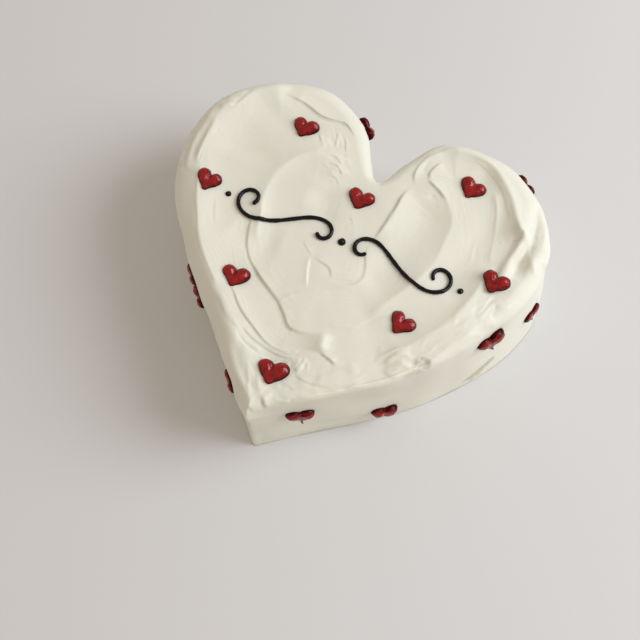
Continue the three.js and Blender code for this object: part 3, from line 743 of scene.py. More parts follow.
def soft_noise(places, size, seed, waves=14, spread=(0.8, 2.0)):
    """A smooth random field with features about size wide, mostly between -1 and 1. It is a sum of waves,
    whose lengths are spread about the size."""
    draw = np.random.default_rng(seed)
    directions = draw.normal(size=(waves, places.shape[1]))
    directions /= np.linalg.norm(directions, axis=1)[:, None]
    turns = 2 * math.pi / (size * draw.uniform(*spread, waves))
    starts = draw.uniform(0, 2 * math.pi, waves)
    phases = places @ (directions * turns[:, None]).T + starts
    return np.sin(phases).sum(axis=1) / math.sqrt(waves / 2)


def turned(offsets, way):
    """How far offsets reach along a way given in degrees, and how far across it."""
    cosine = math.cos(math.radians(way))
    sine = math.sin(math.radians(way))
    return offsets @ np.array([cosine, sine]), offsets @ np.array([-sine, cosine])


def beside_stroke(knots, points, reach, fade_length, seed):
    """Which points lie near a stroke, how far they are from its line, counted as positive on its left,
    and how strong the stroke is there."""
    line = smooth_curve(knots, closed=False, per_span=STROKE_SPAN_POINTS)
    low = line.min(axis=0) - reach
    high = line.max(axis=0) + reach
    near = np.flatnonzero(np.all((points > low) & (points < high), axis=1))
    places = points[near]
    distance, along, on_left, total = nearest_on_line(line, places)
    fade_length = min(fade_length, total * SHORTEST_FADE)
    strength = smooth(along / fade_length) * smooth((total - along) / fade_length)
    strength *= np.maximum(1 + STROKE_SWING * soft_noise(places, SWING_LENGTH, seed + 1), 0)
    signed = np.where(on_left, distance, -distance) + STROKE_WANDER * soft_noise(places, WANDER_LENGTH, seed)
    return near, signed, strength


def stroke_height(stroke, points, fade_length, softness, seed):
    """Height that one stroke of the spatula adds at the points, in millimetres."""
    knots, *sides = stroke
    reach = STROKE_CUTOFF * max(side[1] for side in sides)
    near, signed, strength = beside_stroke(knots, points, reach, fade_length, seed)
    away = np.hypot(signed, softness) - softness
    parts = []
    for on_side, (rise, side_reach, *roundness) in zip((signed > 0, signed <= 0), sides):
        share = np.where(on_side, away, 0) / side_reach
        parts.append(rise * np.exp(-(share ** (roundness[0] if roundness else 1))))
    height = np.zeros(len(points))
    height[near] = strength * mix(parts[1], parts[0], smooth(0.5 + signed / (2 * STROKE_EDGE)))
    return height


def ripple_height(knots, points, seed):
    """Height of the faint ripples that the spatula left beside a stroke."""
    near, signed, strength = beside_stroke(knots, points, STROKE_CUTOFF * RIPPLE_REACH, MAIN_FADE, seed)
    places = points[near]
    strength *= RIPPLE_HEIGHT * np.exp(-((signed / RIPPLE_REACH) ** 2))
    wander = RIPPLE_WANDER * soft_noise(places, RIPPLE_WANDER_LENGTH, seed + SEEDS["ripple wander"])
    draw = np.random.default_rng(seed)
    height = np.zeros(len(points))
    for number, length in enumerate(RIPPLE_LENGTHS):
        wave = np.sin(2 * math.pi * ((signed + wander) / length + draw.uniform()))
        patch = smooth(soft_noise(places, RIPPLE_PATCH, seed + SEEDS["ripple patch"] + number))
        height[near] += strength * patch * wave
    return height


def top_height(points):
    """Height of the broad form of the top, and how far the points lie in from its edge."""
    top, round_in, round_down, _ = edge_shape(points)
    inwards = nearest_on_line(wall_top_line(), points)[0]
    rest = np.maximum(0, 1 - inwards / round_in)
    rounding = round_down * (1 - np.sqrt(1 - rest**2))
    level = mix(top, TOP_CENTRE_HEIGHT, smooth(inwards / LEVEL_REACH))
    strokes = sum(
        stroke_height(stroke, points, MAIN_FADE, MAIN_SOFTNESS, SEEDS["main stroke"] + 2 * number)
        for number, stroke in enumerate(MAIN_STROKES)
    )
    return level - rounding + strokes * smooth(inwards / round_in), inwards


def torn_height(points):
    """Height of the lumps in the places where the cream tore."""
    height = np.zeros(len(points))
    for number, (x, y, radius, rise, level, length, width, way) in enumerate(TORN_SPOTS):
        offset = points - np.array([x, y])
        near = np.hypot(*offset.T) < TORN_CUTOFF * radius
        offset = offset[near]
        along, across = turned(offset, way)
        across += TORN_DRIFT * soft_noise(offset, TORN_DRIFT_LENGTH, SEEDS["torn drift"] + number)
        lumps = np.zeros(len(offset))
        for part in TORN_LUMP_SIZES:
            places = np.column_stack([along / length, across / width]) / part
            lumps += part**1.5 * soft_noise(places, 1, SEEDS["torn lump"] + number + int(100 * part))
        swing = TORN_EDGE_SWING * soft_noise(offset, radius, SEEDS["torn edge"] + number)
        outwards = np.hypot(*offset.T) / (radius * (1 + swing))
        height[near] += (level + rise * lumps) * ramp(outwards, TORN_END, TORN_FULL)
    return height


def fine_marks(points, inwards):
    """Height of the fine marks on the top: narrow strokes, ripples and torn spots."""
    height = torn_height(points)
    for number, stroke in enumerate(FINE_STROKES):
        height += stroke_height(stroke, points, FINE_FADE, FINE_SOFTNESS, SEEDS["fine stroke"] + 2 * number)
    for number, (knots, *_) in enumerate(MAIN_STROKES):
        height += ripple_height(knots, points, SEEDS["ripple"] + number)
    return height * smooth(inwards / MARK_START)


def wall_marks(arc, height, foot, total):
    """How far the cream stands out of the wall at an arc length and height on it."""
    places = np.column_stack([arc, height])
    relief = np.zeros(len(arc))
    # the waves run round the wall and meet themselves, because the arc is wound on a circle
    angle = 2 * math.pi * arc / total
    radius = total / (2 * math.pi)
    for number, (rise, wide, high) in enumerate(WALL_WAVES):
        wound = np.column_stack([radius * np.cos(angle) / wide, radius * np.sin(angle) / wide, height / high])
        relief += rise * soft_noise(wound, 1.0, SEEDS["wall wave"] + number)
    for x, y, level, length, width, slant, depth in WALL_MARKS:
        start = np.hypot(foot[:, 0] - x, foot[:, 1] - y).argmin()
        offset = places - np.array([start * total / len(foot), level])
        offset[:, 0] = (offset[:, 0] + total / 2) % total - total / 2
        along, across = turned(offset, slant)
        relief -= depth * np.exp(-((along / length) ** 2) - (across / width) ** 2)
    return relief


def painted_shade_places(points):
    """How much painted shade the cream has at the points, from 0 to 1."""
    painted_shade = np.zeros(len(points))
    for number, (start, end, radius, strength) in enumerate(PAINTED_SHADE_SPOTS):
        run = np.subtract(end, start)
        offset = points - np.array(start)
        share = np.clip(offset @ run / (run @ run), 0, 1)
        gap = np.linalg.norm(offset - share[:, None] * run, axis=1) / radius
        gap += SHADE_SPOT_SWING * soft_noise(points, SHADE_SPOT_SWING_LENGTH, SEEDS["thin spot"] + number)
        painted_shade = np.maximum(painted_shade, strength * ramp(gap, *SHADE_SPOT_FADE))
    return painted_shade


def cream_rings(settings):
    """Rings of points that go up the wall, over the rounded edge and in over the top, the middle of the
    top, how far the points of the top lie in from the edge, and the foot of the wall."""
    foot, out = foot_points(settings.spokes)
    top, round_in, round_down, lean = edge_shape(foot)
    edge = foot - out * lean[:, None]
    inward = TOP_CENTRE - edge
    length = np.linalg.norm(inward, axis=1)
    inward /= length[:, None]
    # a step along a spoke is longer than the same step straight in from the edge
    stretch = 1 / np.maximum(-(inward * out).sum(axis=1), LEAST_CROSSING)
    rings = []
    for step in range(settings.wall_steps + 1):
        share = step / settings.wall_steps
        place = foot - out * (lean * share)[:, None]
        rings.append(np.column_stack([place, share * (top - round_down)]))
    travels = []
    for step in range(1, settings.round_steps + 1):
        turn = 1 - math.cos(step / settings.round_steps * math.pi / 2)
        travels.append((turn * round_in * stretch, 1))
    for step in range(1, settings.top_steps):
        share = step / settings.top_steps
        thinning = 2 ** int(np.searchsorted(THINNED_AFTER, share))
        travels.append((mix(round_in * stretch, length, share), thinning))
    places = [(edge + inward * travel[:, None])[::thinning] for travel, thinning in travels]
    heights, inwards = top_height(np.concatenate(places + [TOP_CENTRE[None]]))
    start = 0
    for place in places:
        rings.append(np.column_stack([place, heights[start : start + len(place)]]))
        start += len(place)
    centre = np.array([*TOP_CENTRE, heights[-1]])
    return rings, centre, inwards, foot


def ringed_faces(counts):
    """Faces between rings of points, each as long as the one before it or half as long. The middle of the
    bottom and the middle of the top are the two points after the last ring."""
    bottom = sum(counts)
    top = bottom + 1
    faces = [(bottom, (i + 1) % counts[0], i) for i in range(counts[0])]
    lower = 0
    for count, upper_count in zip(counts[:-1], counts[1:]):
        upper = lower + count
        ratio = count // upper_count
        for i in range(upper_count):
            here = upper + i
            following = upper + (i + 1) % upper_count
            if ratio == 1:
                faces.append((lower + i, lower + (i + 1) % count, following, here))
                continue
            for part in range(ratio):
                faces.append((lower + i * ratio + part, lower + (i * ratio + part + 1) % count, here))
            faces.append((lower + (i + 1) * ratio % count, following, here))
        lower = upper
    faces.extend((top, lower + i, lower + (i + 1) % counts[-1]) for i in range(counts[-1]))
    return faces


def cream_relief(settings, points, inwards, foot):
    """How far the coat's points stand out from the smooth form. The points are the rings, then the middle
    of the bottom and the middle of the top."""
    on_wall = settings.spokes * (settings.wall_steps + 1)
    rounded = settings.spokes * settings.round_steps
    on_side = on_wall + rounded
    relief = np.zeros(len(points))
    # the wall's marks reach over the rounding and fade out on the top
    total = np.linalg.norm(foot - np.roll(foot, 1, axis=0), axis=1).sum()
    arc = np.tile(np.arange(settings.spokes) * total / settings.spokes, on_side // settings.spokes)
    height = points[:on_side, 2]
    strength = smooth(height / MARK_START)
    strength[on_wall:] *= 1 - smooth(inwards[:rounded] / EDGE_BLEND)
    relief[:on_side] = strength * wall_marks(arc, height, foot, total)
    # the top's marks start at the edge
    on_top = np.append(np.arange(on_wall, len(points) - 2), len(points) - 1)
    places = points[on_top, :2]
    relief[on_top] += settings.mark_strength * fine_marks(places, inwards)
    gate = smooth(inwards / EDGE_BLEND)
    for number, (rise, size) in enumerate(TOP_WAVES):
        relief[on_top] += rise * gate * soft_noise(places, size, SEEDS["top wave"] + number)
    return relief


def mesh_from(name, points, faces):
    """A mesh with smooth shading, from points in metres."""
    mesh = bpy.data.meshes.new(name)
    mesh.from_pydata(np.asarray(points, float).tolist(), [], faces)
    mesh.validate()
    mesh.shade_smooth()
    mesh.update()
    return mesh


def ball_mesh(name, subdivisions, radius):
    """A mesh of a ball, and its points."""
    ball = bmesh.new()
    bmesh.ops.create_icosphere(ball, subdivisions=subdivisions, radius=radius)
    mesh = bpy.data.meshes.new(name)
    ball.to_mesh(mesh)
    ball.free()
    points = np.zeros(len(mesh.vertices) * 3, np.float32)
    mesh.vertices.foreach_get("co", points)
    return mesh, points.reshape(-1, 3).astype(float)


def set_points(mesh, points):
    """Move the mesh's points to new places and smooth its shading."""
    mesh.vertices.foreach_set("co", points.astype(np.float32).ravel())
    mesh.shade_smooth()
    mesh.update()


def point_normals(mesh):
    """The normals at the mesh's points."""
    normals = np.zeros(len(mesh.vertices) * 3, np.float32)
    mesh.vertex_normals.foreach_get("vector", normals)
    return normals.reshape(-1, 3)


def set_attribute(mesh, name, values):
    """Give each point of the mesh a value that a material can read."""
    attribute = mesh.attributes.new(name, "FLOAT", "POINT")
    attribute.data.foreach_set("value", values.astype(np.float32))


def link(name, mesh):
    """An object at the origin that shows the mesh."""
    piece = bpy.data.objects.new(name, mesh)
    bpy.context.scene.collection.objects.link(piece)
    return piece


def to_model(points):
    """Points of the drawing frame, in millimetres, as points of the model, in metres."""
    moved = np.array(points, float)
    moved[:, :2] += MODEL_SHIFT
    return moved * MM


def node_adder(tree):
    """A function that adds a node to the tree, with values for its inputs and its own settings."""

    def add(kind, values=None, **settings):
        node = tree.nodes.new(kind)
        for key, value in settings.items():
            setattr(node, key, value)
        for key, value in (values or {}).items():
            node.inputs[key].default_value = value
        return node

    return add


def wire(tree, *rows):
    """Link sockets of the tree. Each row is a node and its output, then a node and its input."""
    for source, output, target, socket in rows:
        tree.links.new(source.outputs[output], target.inputs[socket])


def new_material(name):
    """An empty node material, its node tree, and a function that adds a node to it."""
    material = bpy.data.materials.new(name)
    material.use_nodes = True
    tree = material.node_tree
    tree.nodes.clear()
    return material, tree, node_adder(tree)


def colour_ramp(add, stops):
    """A colour ramp node with the given stops of position and colour."""
    node = add("ShaderNodeValToRGB")
    elements = node.color_ramp.elements
    elements[0].position, elements[0].color = stops[0]
    elements[1].position, elements[1].color = stops[-1]
    for position, colour in stops[1:-1]:
        elements.new(position).color = colour
    return node


def shade(colour, share):
    """The colour made lighter or darker, as a colour with alpha."""
    return tuple(min(1.0, part * share) for part in colour) + (1.0,)


def cream_material(colour):
    """Whipped cream: satin, slightly translucent, with a fine grain and soft unevenness. Its colour is
    painted greyer in a few spots as painted shade, as an attribute of the mesh says."""
    material, tree, add = new_material("cream")
    place = add("ShaderNodeTexCoord")
    broad = add("ShaderNodeTexNoise", {"Scale": 22, "Detail": 2, "Roughness": 0.5})
    tint = colour_ramp(add, [(0.3, shade(colour, 0.975)), (0.7, shade(colour, 1.02))])
    # painted shade: the cream's colour made greyer in the spots of shade
    shade_spot_colour = tuple(np.multiply(colour, SHADE_SPOT_TINT)) + (1.0,)
    painted_shade = add("ShaderNodeAttribute", attribute_name="painted_shade")
    shade_spot_mix = add("ShaderNodeMix", {MIX_SECOND: shade_spot_colour}, data_type="RGBA")
    grain = add("ShaderNodeTexNoise", {"Scale": 900, "Detail": 3, "Roughness": 0.6})
    pores = add("ShaderNodeTexNoise", {"Scale": 320, "Detail": 2, "Roughness": 0.5})
    gloss = add("ShaderNodeMapRange", {"From Min": 0.3, "From Max": 0.7, "To Min": 0.5, "To Max": 0.62})
    fine = add("ShaderNodeBump", {"Strength": 0.25, "Distance": 0.00006})
    soft = add("ShaderNodeBump", {"Strength": 0.35, "Distance": 0.00015})
    shader = add(
        "ShaderNodeBsdfPrincipled",
        {
            "Subsurface Weight": 0.35,
            "Subsurface Radius": (1.0, 0.8, 0.55),
            "Subsurface Scale": 0.0015,
            "Specular IOR Level": 0.4,
            "IOR": 1.45,
        },
    )
    output = add("ShaderNodeOutputMaterial")
    wire(
        tree,
        (place, "Object", broad, "Vector"),
        (place, "Object", grain, "Vector"),
        (place, "Object", pores, "Vector"),
        (broad, "Fac", tint, "Fac"),
        (painted_shade, "Fac", shade_spot_mix, MIX_SHARE),
        (tint, "Color", shade_spot_mix, MIX_FIRST),
        (shade_spot_mix, MIX_RESULT, shader, "Base Color"),
        (pores, "Fac", gloss, "Value"),
        (gloss, "Result", shader, "Roughness"),
        (pores, "Fac", soft, "Height"),
        (grain, "Fac", fine, "Height"),
        (soft, "Normal", fine, "Normal"),
        (fine, "Normal", shader, "Normal"),
        (shader, "BSDF", output, "Surface"),
    )
    return material


def icing_material(name, colour, roughness, side_shade_share, gloss_level):
    """Glossy piped icing. Its colour is painted darker on its steep sides, as painted shade, and it is duller
    there, as the attribute rise says.
    """
    material, tree, add = new_material(name)
    place = add("ShaderNodeTexCoord")
    rise = add("ShaderNodeAttribute", attribute_name="rise")
    flow = add("ShaderNodeTexNoise", {"Scale": 480, "Detail": 2, "Roughness": 0.5, "Distortion": 0.8})
    coat = add("ShaderNodeMapRange", {"To Min": gloss_level * side_shade_share, "To Max": gloss_level})
    # painted shade: the colour is darkened towards the steep sides, where the attribute rise is low
    stops = [(0.0, side_shade_share), (0.5, mix(1.0, side_shade_share, 0.6)), (1.0, 1.0)]
    side_shade_ramp = colour_ramp(add, [(position, shade(colour, share)) for position, share in stops])
    patches = colour_ramp(add, [(0.35, (0.6, 0.6, 0.6, 1)), (0.65, (1.1, 1.1, 1.1, 1))])
    blend = add("ShaderNodeMix", {MIX_SHARE: 1.0}, data_type="RGBA", blend_type="MULTIPLY")
    gloss = add(
        "ShaderNodeMapRange",
        {"From Min": 0.3, "From Max": 0.7, "To Min": roughness - 0.05, "To Max": roughness + 0.1},
    )
    bump = add("ShaderNodeBump", {"Strength": 1.0, "Distance": 0.0003})
    shader = add(
        "ShaderNodeBsdfPrincipled", {"Specular IOR Level": 0.1, "IOR": 1.15, "Coat Roughness": 0.14}
    )
    output = add("ShaderNodeOutputMaterial")
    wire(
        tree,
        (place, "Object", flow, "Vector"),
        (rise, "Fac", side_shade_ramp, "Fac"),
        (flow, "Fac", patches, "Fac"),
        (side_shade_ramp, "Color", blend, MIX_FIRST),
        (patches, "Color", blend, MIX_SECOND),
        (blend, MIX_RESULT, shader, "Base Color"),
        (flow, "Fac", gloss, "Value"),
        (gloss, "Result", shader, "Roughness"),
        (flow, "Fac", bump, "Height"),
        (bump, "Normal", shader, "Normal"),
        (bump, "Normal", shader, "Coat Normal"),
        (rise, "Fac", coat, "Value"),
        (coat, "Result", shader, "Coat Weight"),
        (shader, "BSDF", output, "Surface"),
    )
    return material


def floor_material(colour):
    """Plain pale floor with a very slight mottling."""
    material, tree, add = new_material("floor")
    place = add("ShaderNodeTexCoord")
    broad = add("ShaderNodeTexNoise", {"Scale": 3, "Detail": 1})
    tint = colour_ramp(add, [(0.3, shade(colour, 0.99)), (0.7, shade(colour, 1.01))])
    shader = add("ShaderNodeBsdfPrincipled", {"Roughness": 0.85, "Specular IOR Level": 0.2})
    output = add("ShaderNodeOutputMaterial")
    wire(
        tree,
        (place, "Object", broad, "Vector"),
        (broad, "Fac", tint, "Fac"),
        (tint, "Color", shader, "Base Color"),
        (shader, "BSDF", output, "Surface"),
    )
    return material


class CAKE_OT_cream(bpy.types.Operator):
    """Make the cake's coat of smoothed cream, with the marks that the spatula left."""

    bl_idname = "cake.cream"
    bl_label = "Cream"

    def execute(self, context):
        settings = context.scene.cake_cream
        rings, centre, inwards, foot = cream_rings(settings)
        bottom = np.array([*TOP_CENTRE, 0])
        points = np.vstack(rings + [bottom[None], centre[None]])
        mesh = mesh_from("cream_coat", to_model(points), ringed_faces([len(ring) for ring in rings]))
        relief = cream_relief(settings, points, inwards, foot)
        moved = points + point_normals(mesh) * relief[:, None]
        moved[: settings.spokes, 2] = 0
        set_points(mesh, to_model(moved))
        # the spots where the cream's colour gets painted shade
        set_attribute(mesh, "painted_shade", painted_shade_places(moved))
        mesh.materials.append(cream_material(settings.colour))
        piece = link("cream_coat", mesh)
        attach(piece, "root")
        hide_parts("cake")
        return {"FINISHED"}


def surface_of(piece):
    """A tree for finding the nearest places on a finished piece."""
    return BVHTree.FromPolygons(
        [vertex.co.copy() for vertex in piece.data.vertices],
        [tuple(polygon.vertices) for polygon in piece.data.polygons],
    )


def dropped_onto(surface, x, y):
    """The place and the normal on the surface straight under a point."""
    place, normal, _, _ = surface.ray_cast(Vector((x, y, RAY_HEIGHT)), -UP)
    return place, normal


def teardrop_field(places, head, tail, head_radius, tail_radius, flatness):
    """Below zero inside a teardrop that is round at its head and drawn out to its tail."""
    squash = np.array([1, 1, flatness])
    offset = (places - head) / squash
    run = (tail - head) / squash
    share = np.clip(offset @ run / (run @ run), 0, 1)
    radius = mix(head_radius, tail_radius, share**HEART_NARROWING)
    return np.linalg.norm(offset - share[:, None] * run, axis=1) - radius


def heart_field(places, teardrops, seed):
    """Below zero inside a heart whose teardrops flow into each other, with lumps and ridges."""
    slope, rest = HALF_SLOPE
    turn = slope * np.tanh(places[:, 0] / HALF_TURNOVER)
    along = turn * places[:, 0] + rest * places[:, 1]
    across = rest * places[:, 0] - turn * places[:, 1]
    ridged = np.column_stack([across, along / RIDGE_STRETCH, places[:, 2]])
    lump_rise, lump_size = HEART_LUMPS
    ridge_rise, ridge_size = HEART_RIDGES
    relief = lump_rise * soft_noise(places, lump_size, seed + SEEDS["heart lump"])
    relief += ridge_rise * soft_noise(ridged, ridge_size, seed + SEEDS["heart ridge"])
    # the teardrops are sharply apart at their heads and flow together towards their tails
    blend = mix(*HEART_BLEND, ramp(places[:, 1], *HEART_BLEND_Y))
    parts = np.array([teardrop_field(places, *teardrop) for teardrop in teardrops])
    return relief - blend * np.log(np.exp(-parts / blend).sum(axis=0))


def heart_shape(name, settings, seed, spur):
    """A piped heart 1 wide, lying on the XY plane with its point towards -Y, made by moving the points of
    a ball out to the joint surface of its teardrops."""
    draw = np.random.default_rng(seed)

    def vary(size=None):
        return 1 + settings.unevenness * draw.uniform(-1, 1, size)

    flatness = HEART_FLATNESS * vary()
    teardrops = []
    for side, lift, tail_x in HEART_HALVES:
        head = np.array([side * HEART_HEAD["x"], HEART_HEAD["y"], lift]) * vary(3)
        tail_x += HEART_TAIL["wander"] * draw.uniform(-1, 1)
        tail = np.array([tail_x, HEART_TAIL["y"], HEART_TAIL["lift"] * lift])
        teardrops.append((head, tail, HEART_HEAD["radius"] * vary(), HEART_TAIL["radius"], flatness))
    if spur:
        start, end, *radii = HEART_SPUR
        teardrops.append((np.array(start), np.array(end), *radii, 1))

    mesh, rays = ball_mesh(name, settings.fineness, 1)
    rays /= np.linalg.norm(rays, axis=1)[:, None]
    core = np.array(HEART_CORE)
    steps = np.linspace(*RAY_REACH, RAY_STEPS)
    low = np.full(len(rays), steps[0])
    for step in steps:
        low = np.where(heart_field(core + rays * step, teardrops, seed) < 0, step, low)
    high = low + (steps[1] - steps[0])
    for _ in range(RAY_HALVINGS):
        middle = (low + high) / 2
        inside = heart_field(core + rays * middle[:, None], teardrops, seed) < 0
        low = np.where(inside, middle, low)
        high = np.where(inside, high, middle)
    points = core + rays * low[:, None]
    points[:, 2] = np.maximum(points[:, 2], -HEART_SUNK)
    set_points(mesh, points)
    # how much the icing faces up, which sets the painted shade on its steep sides; a spur is made darker too
    rise = np.interp(point_normals(mesh)[:, 2], RISE_NORMALS, (0, 1))
    if spur:
        rise *= mix(SPUR_DARKNESS, 1, ramp(points[:, 1], *SPUR_Y))
    set_attribute(mesh, "rise", rise)
    return mesh


def drop_shape(name, seed):
    """A piped drop 1 wide: a low dome with a small peak, where the tip of the bag was pulled off."""
    draw = np.random.default_rng(seed)
    mesh, points = ball_mesh(name, DROP_SUBDIVISIONS, 0.5)
    lean = draw.uniform(-DROP_LEAN, DROP_LEAN, 2)
    peak_height, peak_width = DROP_PEAK
    off = np.linalg.norm(points[:, :2] - lean, axis=1)
    dome = points[:, 2] * DROP_DOME + peak_height * np.exp(-((off / peak_width) ** 2))
    points[:, 2] = np.where(points[:, 2] > 0, dome, points[:, 2] * DROP_UNDERSIDE)
    lump_rise, lump_size = DROP_LUMPS
    points += lump_rise * soft_noise(points, lump_size, seed)[:, None]
    set_points(mesh, points)
    # how high the drop reaches, which sets the painted shade low down on it
    set_attribute(mesh, "rise", np.clip(points[:, 2] / DROP_RISE, 0, 1))
    return mesh


def new_tree(name, sockets):
    """A geometry node tree with named inputs, their identifiers, and a function that adds a node to it."""
    tree = bpy.data.node_groups.new(name, "GeometryNodeTree")
    tree.interface.new_socket("Geometry", in_out="INPUT", socket_type="NodeSocketGeometry")
    identifiers = {}
    for label, kind in sockets:
        socket = tree.interface.new_socket(label, in_out="INPUT", socket_type=kind)
        identifiers[label] = socket.identifier
    tree.interface.new_socket("Geometry", in_out="OUTPUT", socket_type="NodeSocketGeometry")
    return tree, identifiers, node_adder(tree)


def instancing_tree():
    """Puts a shape from a collection on each point, by the attributes kind, turn and size."""
    tree, identifiers, add = new_tree(
        "piped_on_points", [("Shapes", "NodeSocketCollection"), ("Finish", "NodeSocketMaterial")]
    )
    start = add("NodeGroupInput")
    shapes = add("GeometryNodeCollectionInfo", {"Separate Children": True, "Reset Children": True})
    kind = add("GeometryNodeInputNamedAttribute", {"Name": "kind"}, data_type="INT")
    turn = add("GeometryNodeInputNamedAttribute", {"Name": "turn"}, data_type="FLOAT_VECTOR")
    size = add("GeometryNodeInputNamedAttribute", {"Name": "size"}, data_type="FLOAT_VECTOR")
    rotation = add("FunctionNodeEulerToRotation")
    place = add("GeometryNodeInstanceOnPoints", {"Pick Instance": True})
    real = add("GeometryNodeRealizeInstances")
    finish = add("GeometryNodeSetMaterial")
    end = add("NodeGroupOutput")
    wire(
        tree,
        (start, "Geometry", place, "Points"),
        (start, "Shapes", shapes, "Collection"),
        (shapes, "Instances", place, "Instance"),
        (kind, "Attribute", place, "Instance Index"),
        (turn, "Attribute", rotation, "Euler"),
        (rotation, "Rotation", place, "Rotation"),
        (size, "Attribute", place, "Scale"),
        (place, "Instances", real, "Geometry"),
        (real, "Geometry", finish, "Geometry"),
        (start, "Finish", finish, "Material"),
        (finish, "Geometry", end, "Geometry"),
    )
    return tree, identifiers


def piped_line_tree():
    """Makes a round piped line along a chain of edges, uneven in thickness and round at its ends."""
    tree, identifiers, add = new_tree(
        "piped_line",
        [
            ("Thickness", "NodeSocketFloat"),
            ("Sides", "NodeSocketInt"),
            ("Spacing", "NodeSocketFloat"),
            ("Unevenness", "NodeSocketFloat"),
            ("Finish", "NodeSocketMaterial"),
        ],
    )

    def math_node(operation, first, second=None, clamp=False):
        node = add("ShaderNodeMath", operation=operation, use_clamp=clamp)
        for socket, value in zip(node.inputs, (first, second)):
            if isinstance(value, (int, float)):
                socket.default_value = value
            elif value is not None:
                tree.links.new(value, socket)
        return node.outputs["Value"]

    start = add("NodeGroupInput")
    line = add("GeometryNodeMeshToCurve")
    even = add("GeometryNodeResampleCurve", mode="LENGTH")
    along = add("GeometryNodeSplineParameter").outputs["Length"]
    whole = add("GeometryNodeSplineLength").outputs["Length"]
    profile = add("GeometryNodeCurvePrimitiveCircle", {"Radius": 1.0})
    tube = add("GeometryNodeCurveToMesh", {"Fill Caps": True})
    wobble = add("ShaderNodeTexNoise", {"Scale": 260, "Detail": 1}, noise_dimensions="3D")
    real = add("GeometryNodeRealizeInstances")
    finish = add("GeometryNodeSetMaterial")
    end = add("NodeGroupOutput")
    radius = math_node("MULTIPLY", start.outputs["Thickness"], 0.5)
    # close to an end the line narrows as a half ball does
    to_end = math_node("MINIMUM", along, math_node("SUBTRACT", whole, along))
    rest = math_node("SUBTRACT", 1.0, math_node("DIVIDE", to_end, radius), clamp=True)
    narrowed = math_node("SQRT", math_node("SUBTRACT", 1.0, math_node("MULTIPLY", rest, rest)))
    centred = math_node("SUBTRACT", wobble.outputs["Fac"], 0.5)
    swing = math_node("MULTIPLY", centred, start.outputs["Unevenness"])
    width = math_node("MULTIPLY", math_node("MULTIPLY", radius, narrowed), math_node("ADD", swing, 1.0))
    tree.links.new(width, tube.inputs["Scale"])
    wire(
        tree,
        (start, "Geometry", line, "Mesh"),
        (line, "Curve", even, "Curve"),
        (start, "Spacing", even, "Length"),
        (start, "Sides", profile, "Resolution"),
        (even, "Curve", tube, "Curve"),
        (profile, "Curve", tube, "Profile Curve"),
        (tube, "Mesh", real, "Geometry"),
        (real, "Geometry", finish, "Geometry"),
        (start, "Finish", finish, "Material"),
        (finish, "Geometry", end, "Geometry"),
    )
    return tree, identifiers


def shaped_by(piece, tree, identifiers, inputs):
    """Runs the tree on the piece with the inputs, and makes the result the piece's own plain mesh."""
    modifier = piece.modifiers.new("piping", "NODES")
    modifier.node_group = tree
    for name, value in inputs.items():
        modifier[identifiers[name]] = value
    bpy.context.view_layer.update()
    graph = bpy.context.evaluated_depsgraph_get()
    mesh = bpy.data.meshes.new_from_object(piece.evaluated_get(graph), depsgraph=graph)
    piece.modifiers.remove(modifier)
    bpy.data.node_groups.remove(tree)
    piece.data = mesh
    mesh.shade_smooth()
    if not mesh.polygons:
        raise RuntimeError(f"{piece.name} came out empty")


def piped_on_points(name, spots, shapes, material):
    """One piece made of the shapes at the spots, each with place, turn, size and kind."""
    mesh = bpy.data.meshes.new(name)
    mesh.from_pydata([tuple(spot["place"]) for spot in spots], [], [])
    for key, kind, field in (
        ("turn", "FLOAT_VECTOR", "vector"),
        ("size", "FLOAT_VECTOR", "vector"),
        ("kind", "INT", "value"),
    ):
        attribute = mesh.attributes.new(key, kind, "POINT")
        for number, spot in enumerate(spots):
            setattr(attribute.data[number], field, spot[key])
    piece = link(name, mesh)
    collection = bpy.data.collections.new(name + "_shapes")
    bpy.context.scene.collection.children.link(collection)
    for number, shape in enumerate(shapes):
        collection.objects.link(bpy.data.objects.new(f"{name}_shape_{number:02d}", shape))
    tree, identifiers = instancing_tree()
    shaped_by(piece, tree, identifiers, {"Shapes": collection, "Finish": material})
    for shape in list(collection.objects):
        bpy.data.objects.remove(shape)
    bpy.data.collections.remove(collection)
    return piece


class CAKE_OT_top_hearts(bpy.types.Operator):
    """Pipe the hearts on the top of the cake."""

    bl_idname = "cake.top_hearts"
    bl_label = "Top Hearts"

    def execute(self, context):
        settings = context.scene.cake_hearts
        surface = surface_of(bpy.data.objects["cream_coat"])
        names = [f"top_heart_{number + 1}" for number in range(len(TOP_HEART_TURNS))]
        shapes = [
            heart_shape(f"top_heart_shape_{number}", settings, SEEDS["top heart"] + number, spur=False)
            for number in range(settings.shapes)
        ]
        draw = np.random.default_rng(SEEDS["top placing"])
        spots = []
        for number, name in enumerate(names):
            low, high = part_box(name)
            middle = (low + high) / 2
            width = high.x - low.x
            place, normal = dropped_onto(surface, middle.x, middle.y)
            lean = UP.rotation_difference(normal.lerp(UP, HEART_LEVELLING))
            turn = Matrix.Rotation(math.radians(TOP_HEART_TURNS[number]), 3, "Z")
            spots.append(
                {
                    "place": place,
                    "turn": (lean.to_matrix() @ turn).to_euler(),
                    "size": width * Vector((1, TOP_HEART_LENGTHS[number], draw.uniform(*TOP_HEART_DEPTHS))),
                    "kind": number % settings.shapes,
                }
            )
        material = icing_material(
            "red_icing", settings.colour, roughness=0.35, side_shade_share=0.18, gloss_level=0.85
        )
        piece = piped_on_points("top_hearts", spots, shapes, material)
        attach(piece, "root")
        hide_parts(*names)
        return {"FINISHED"}


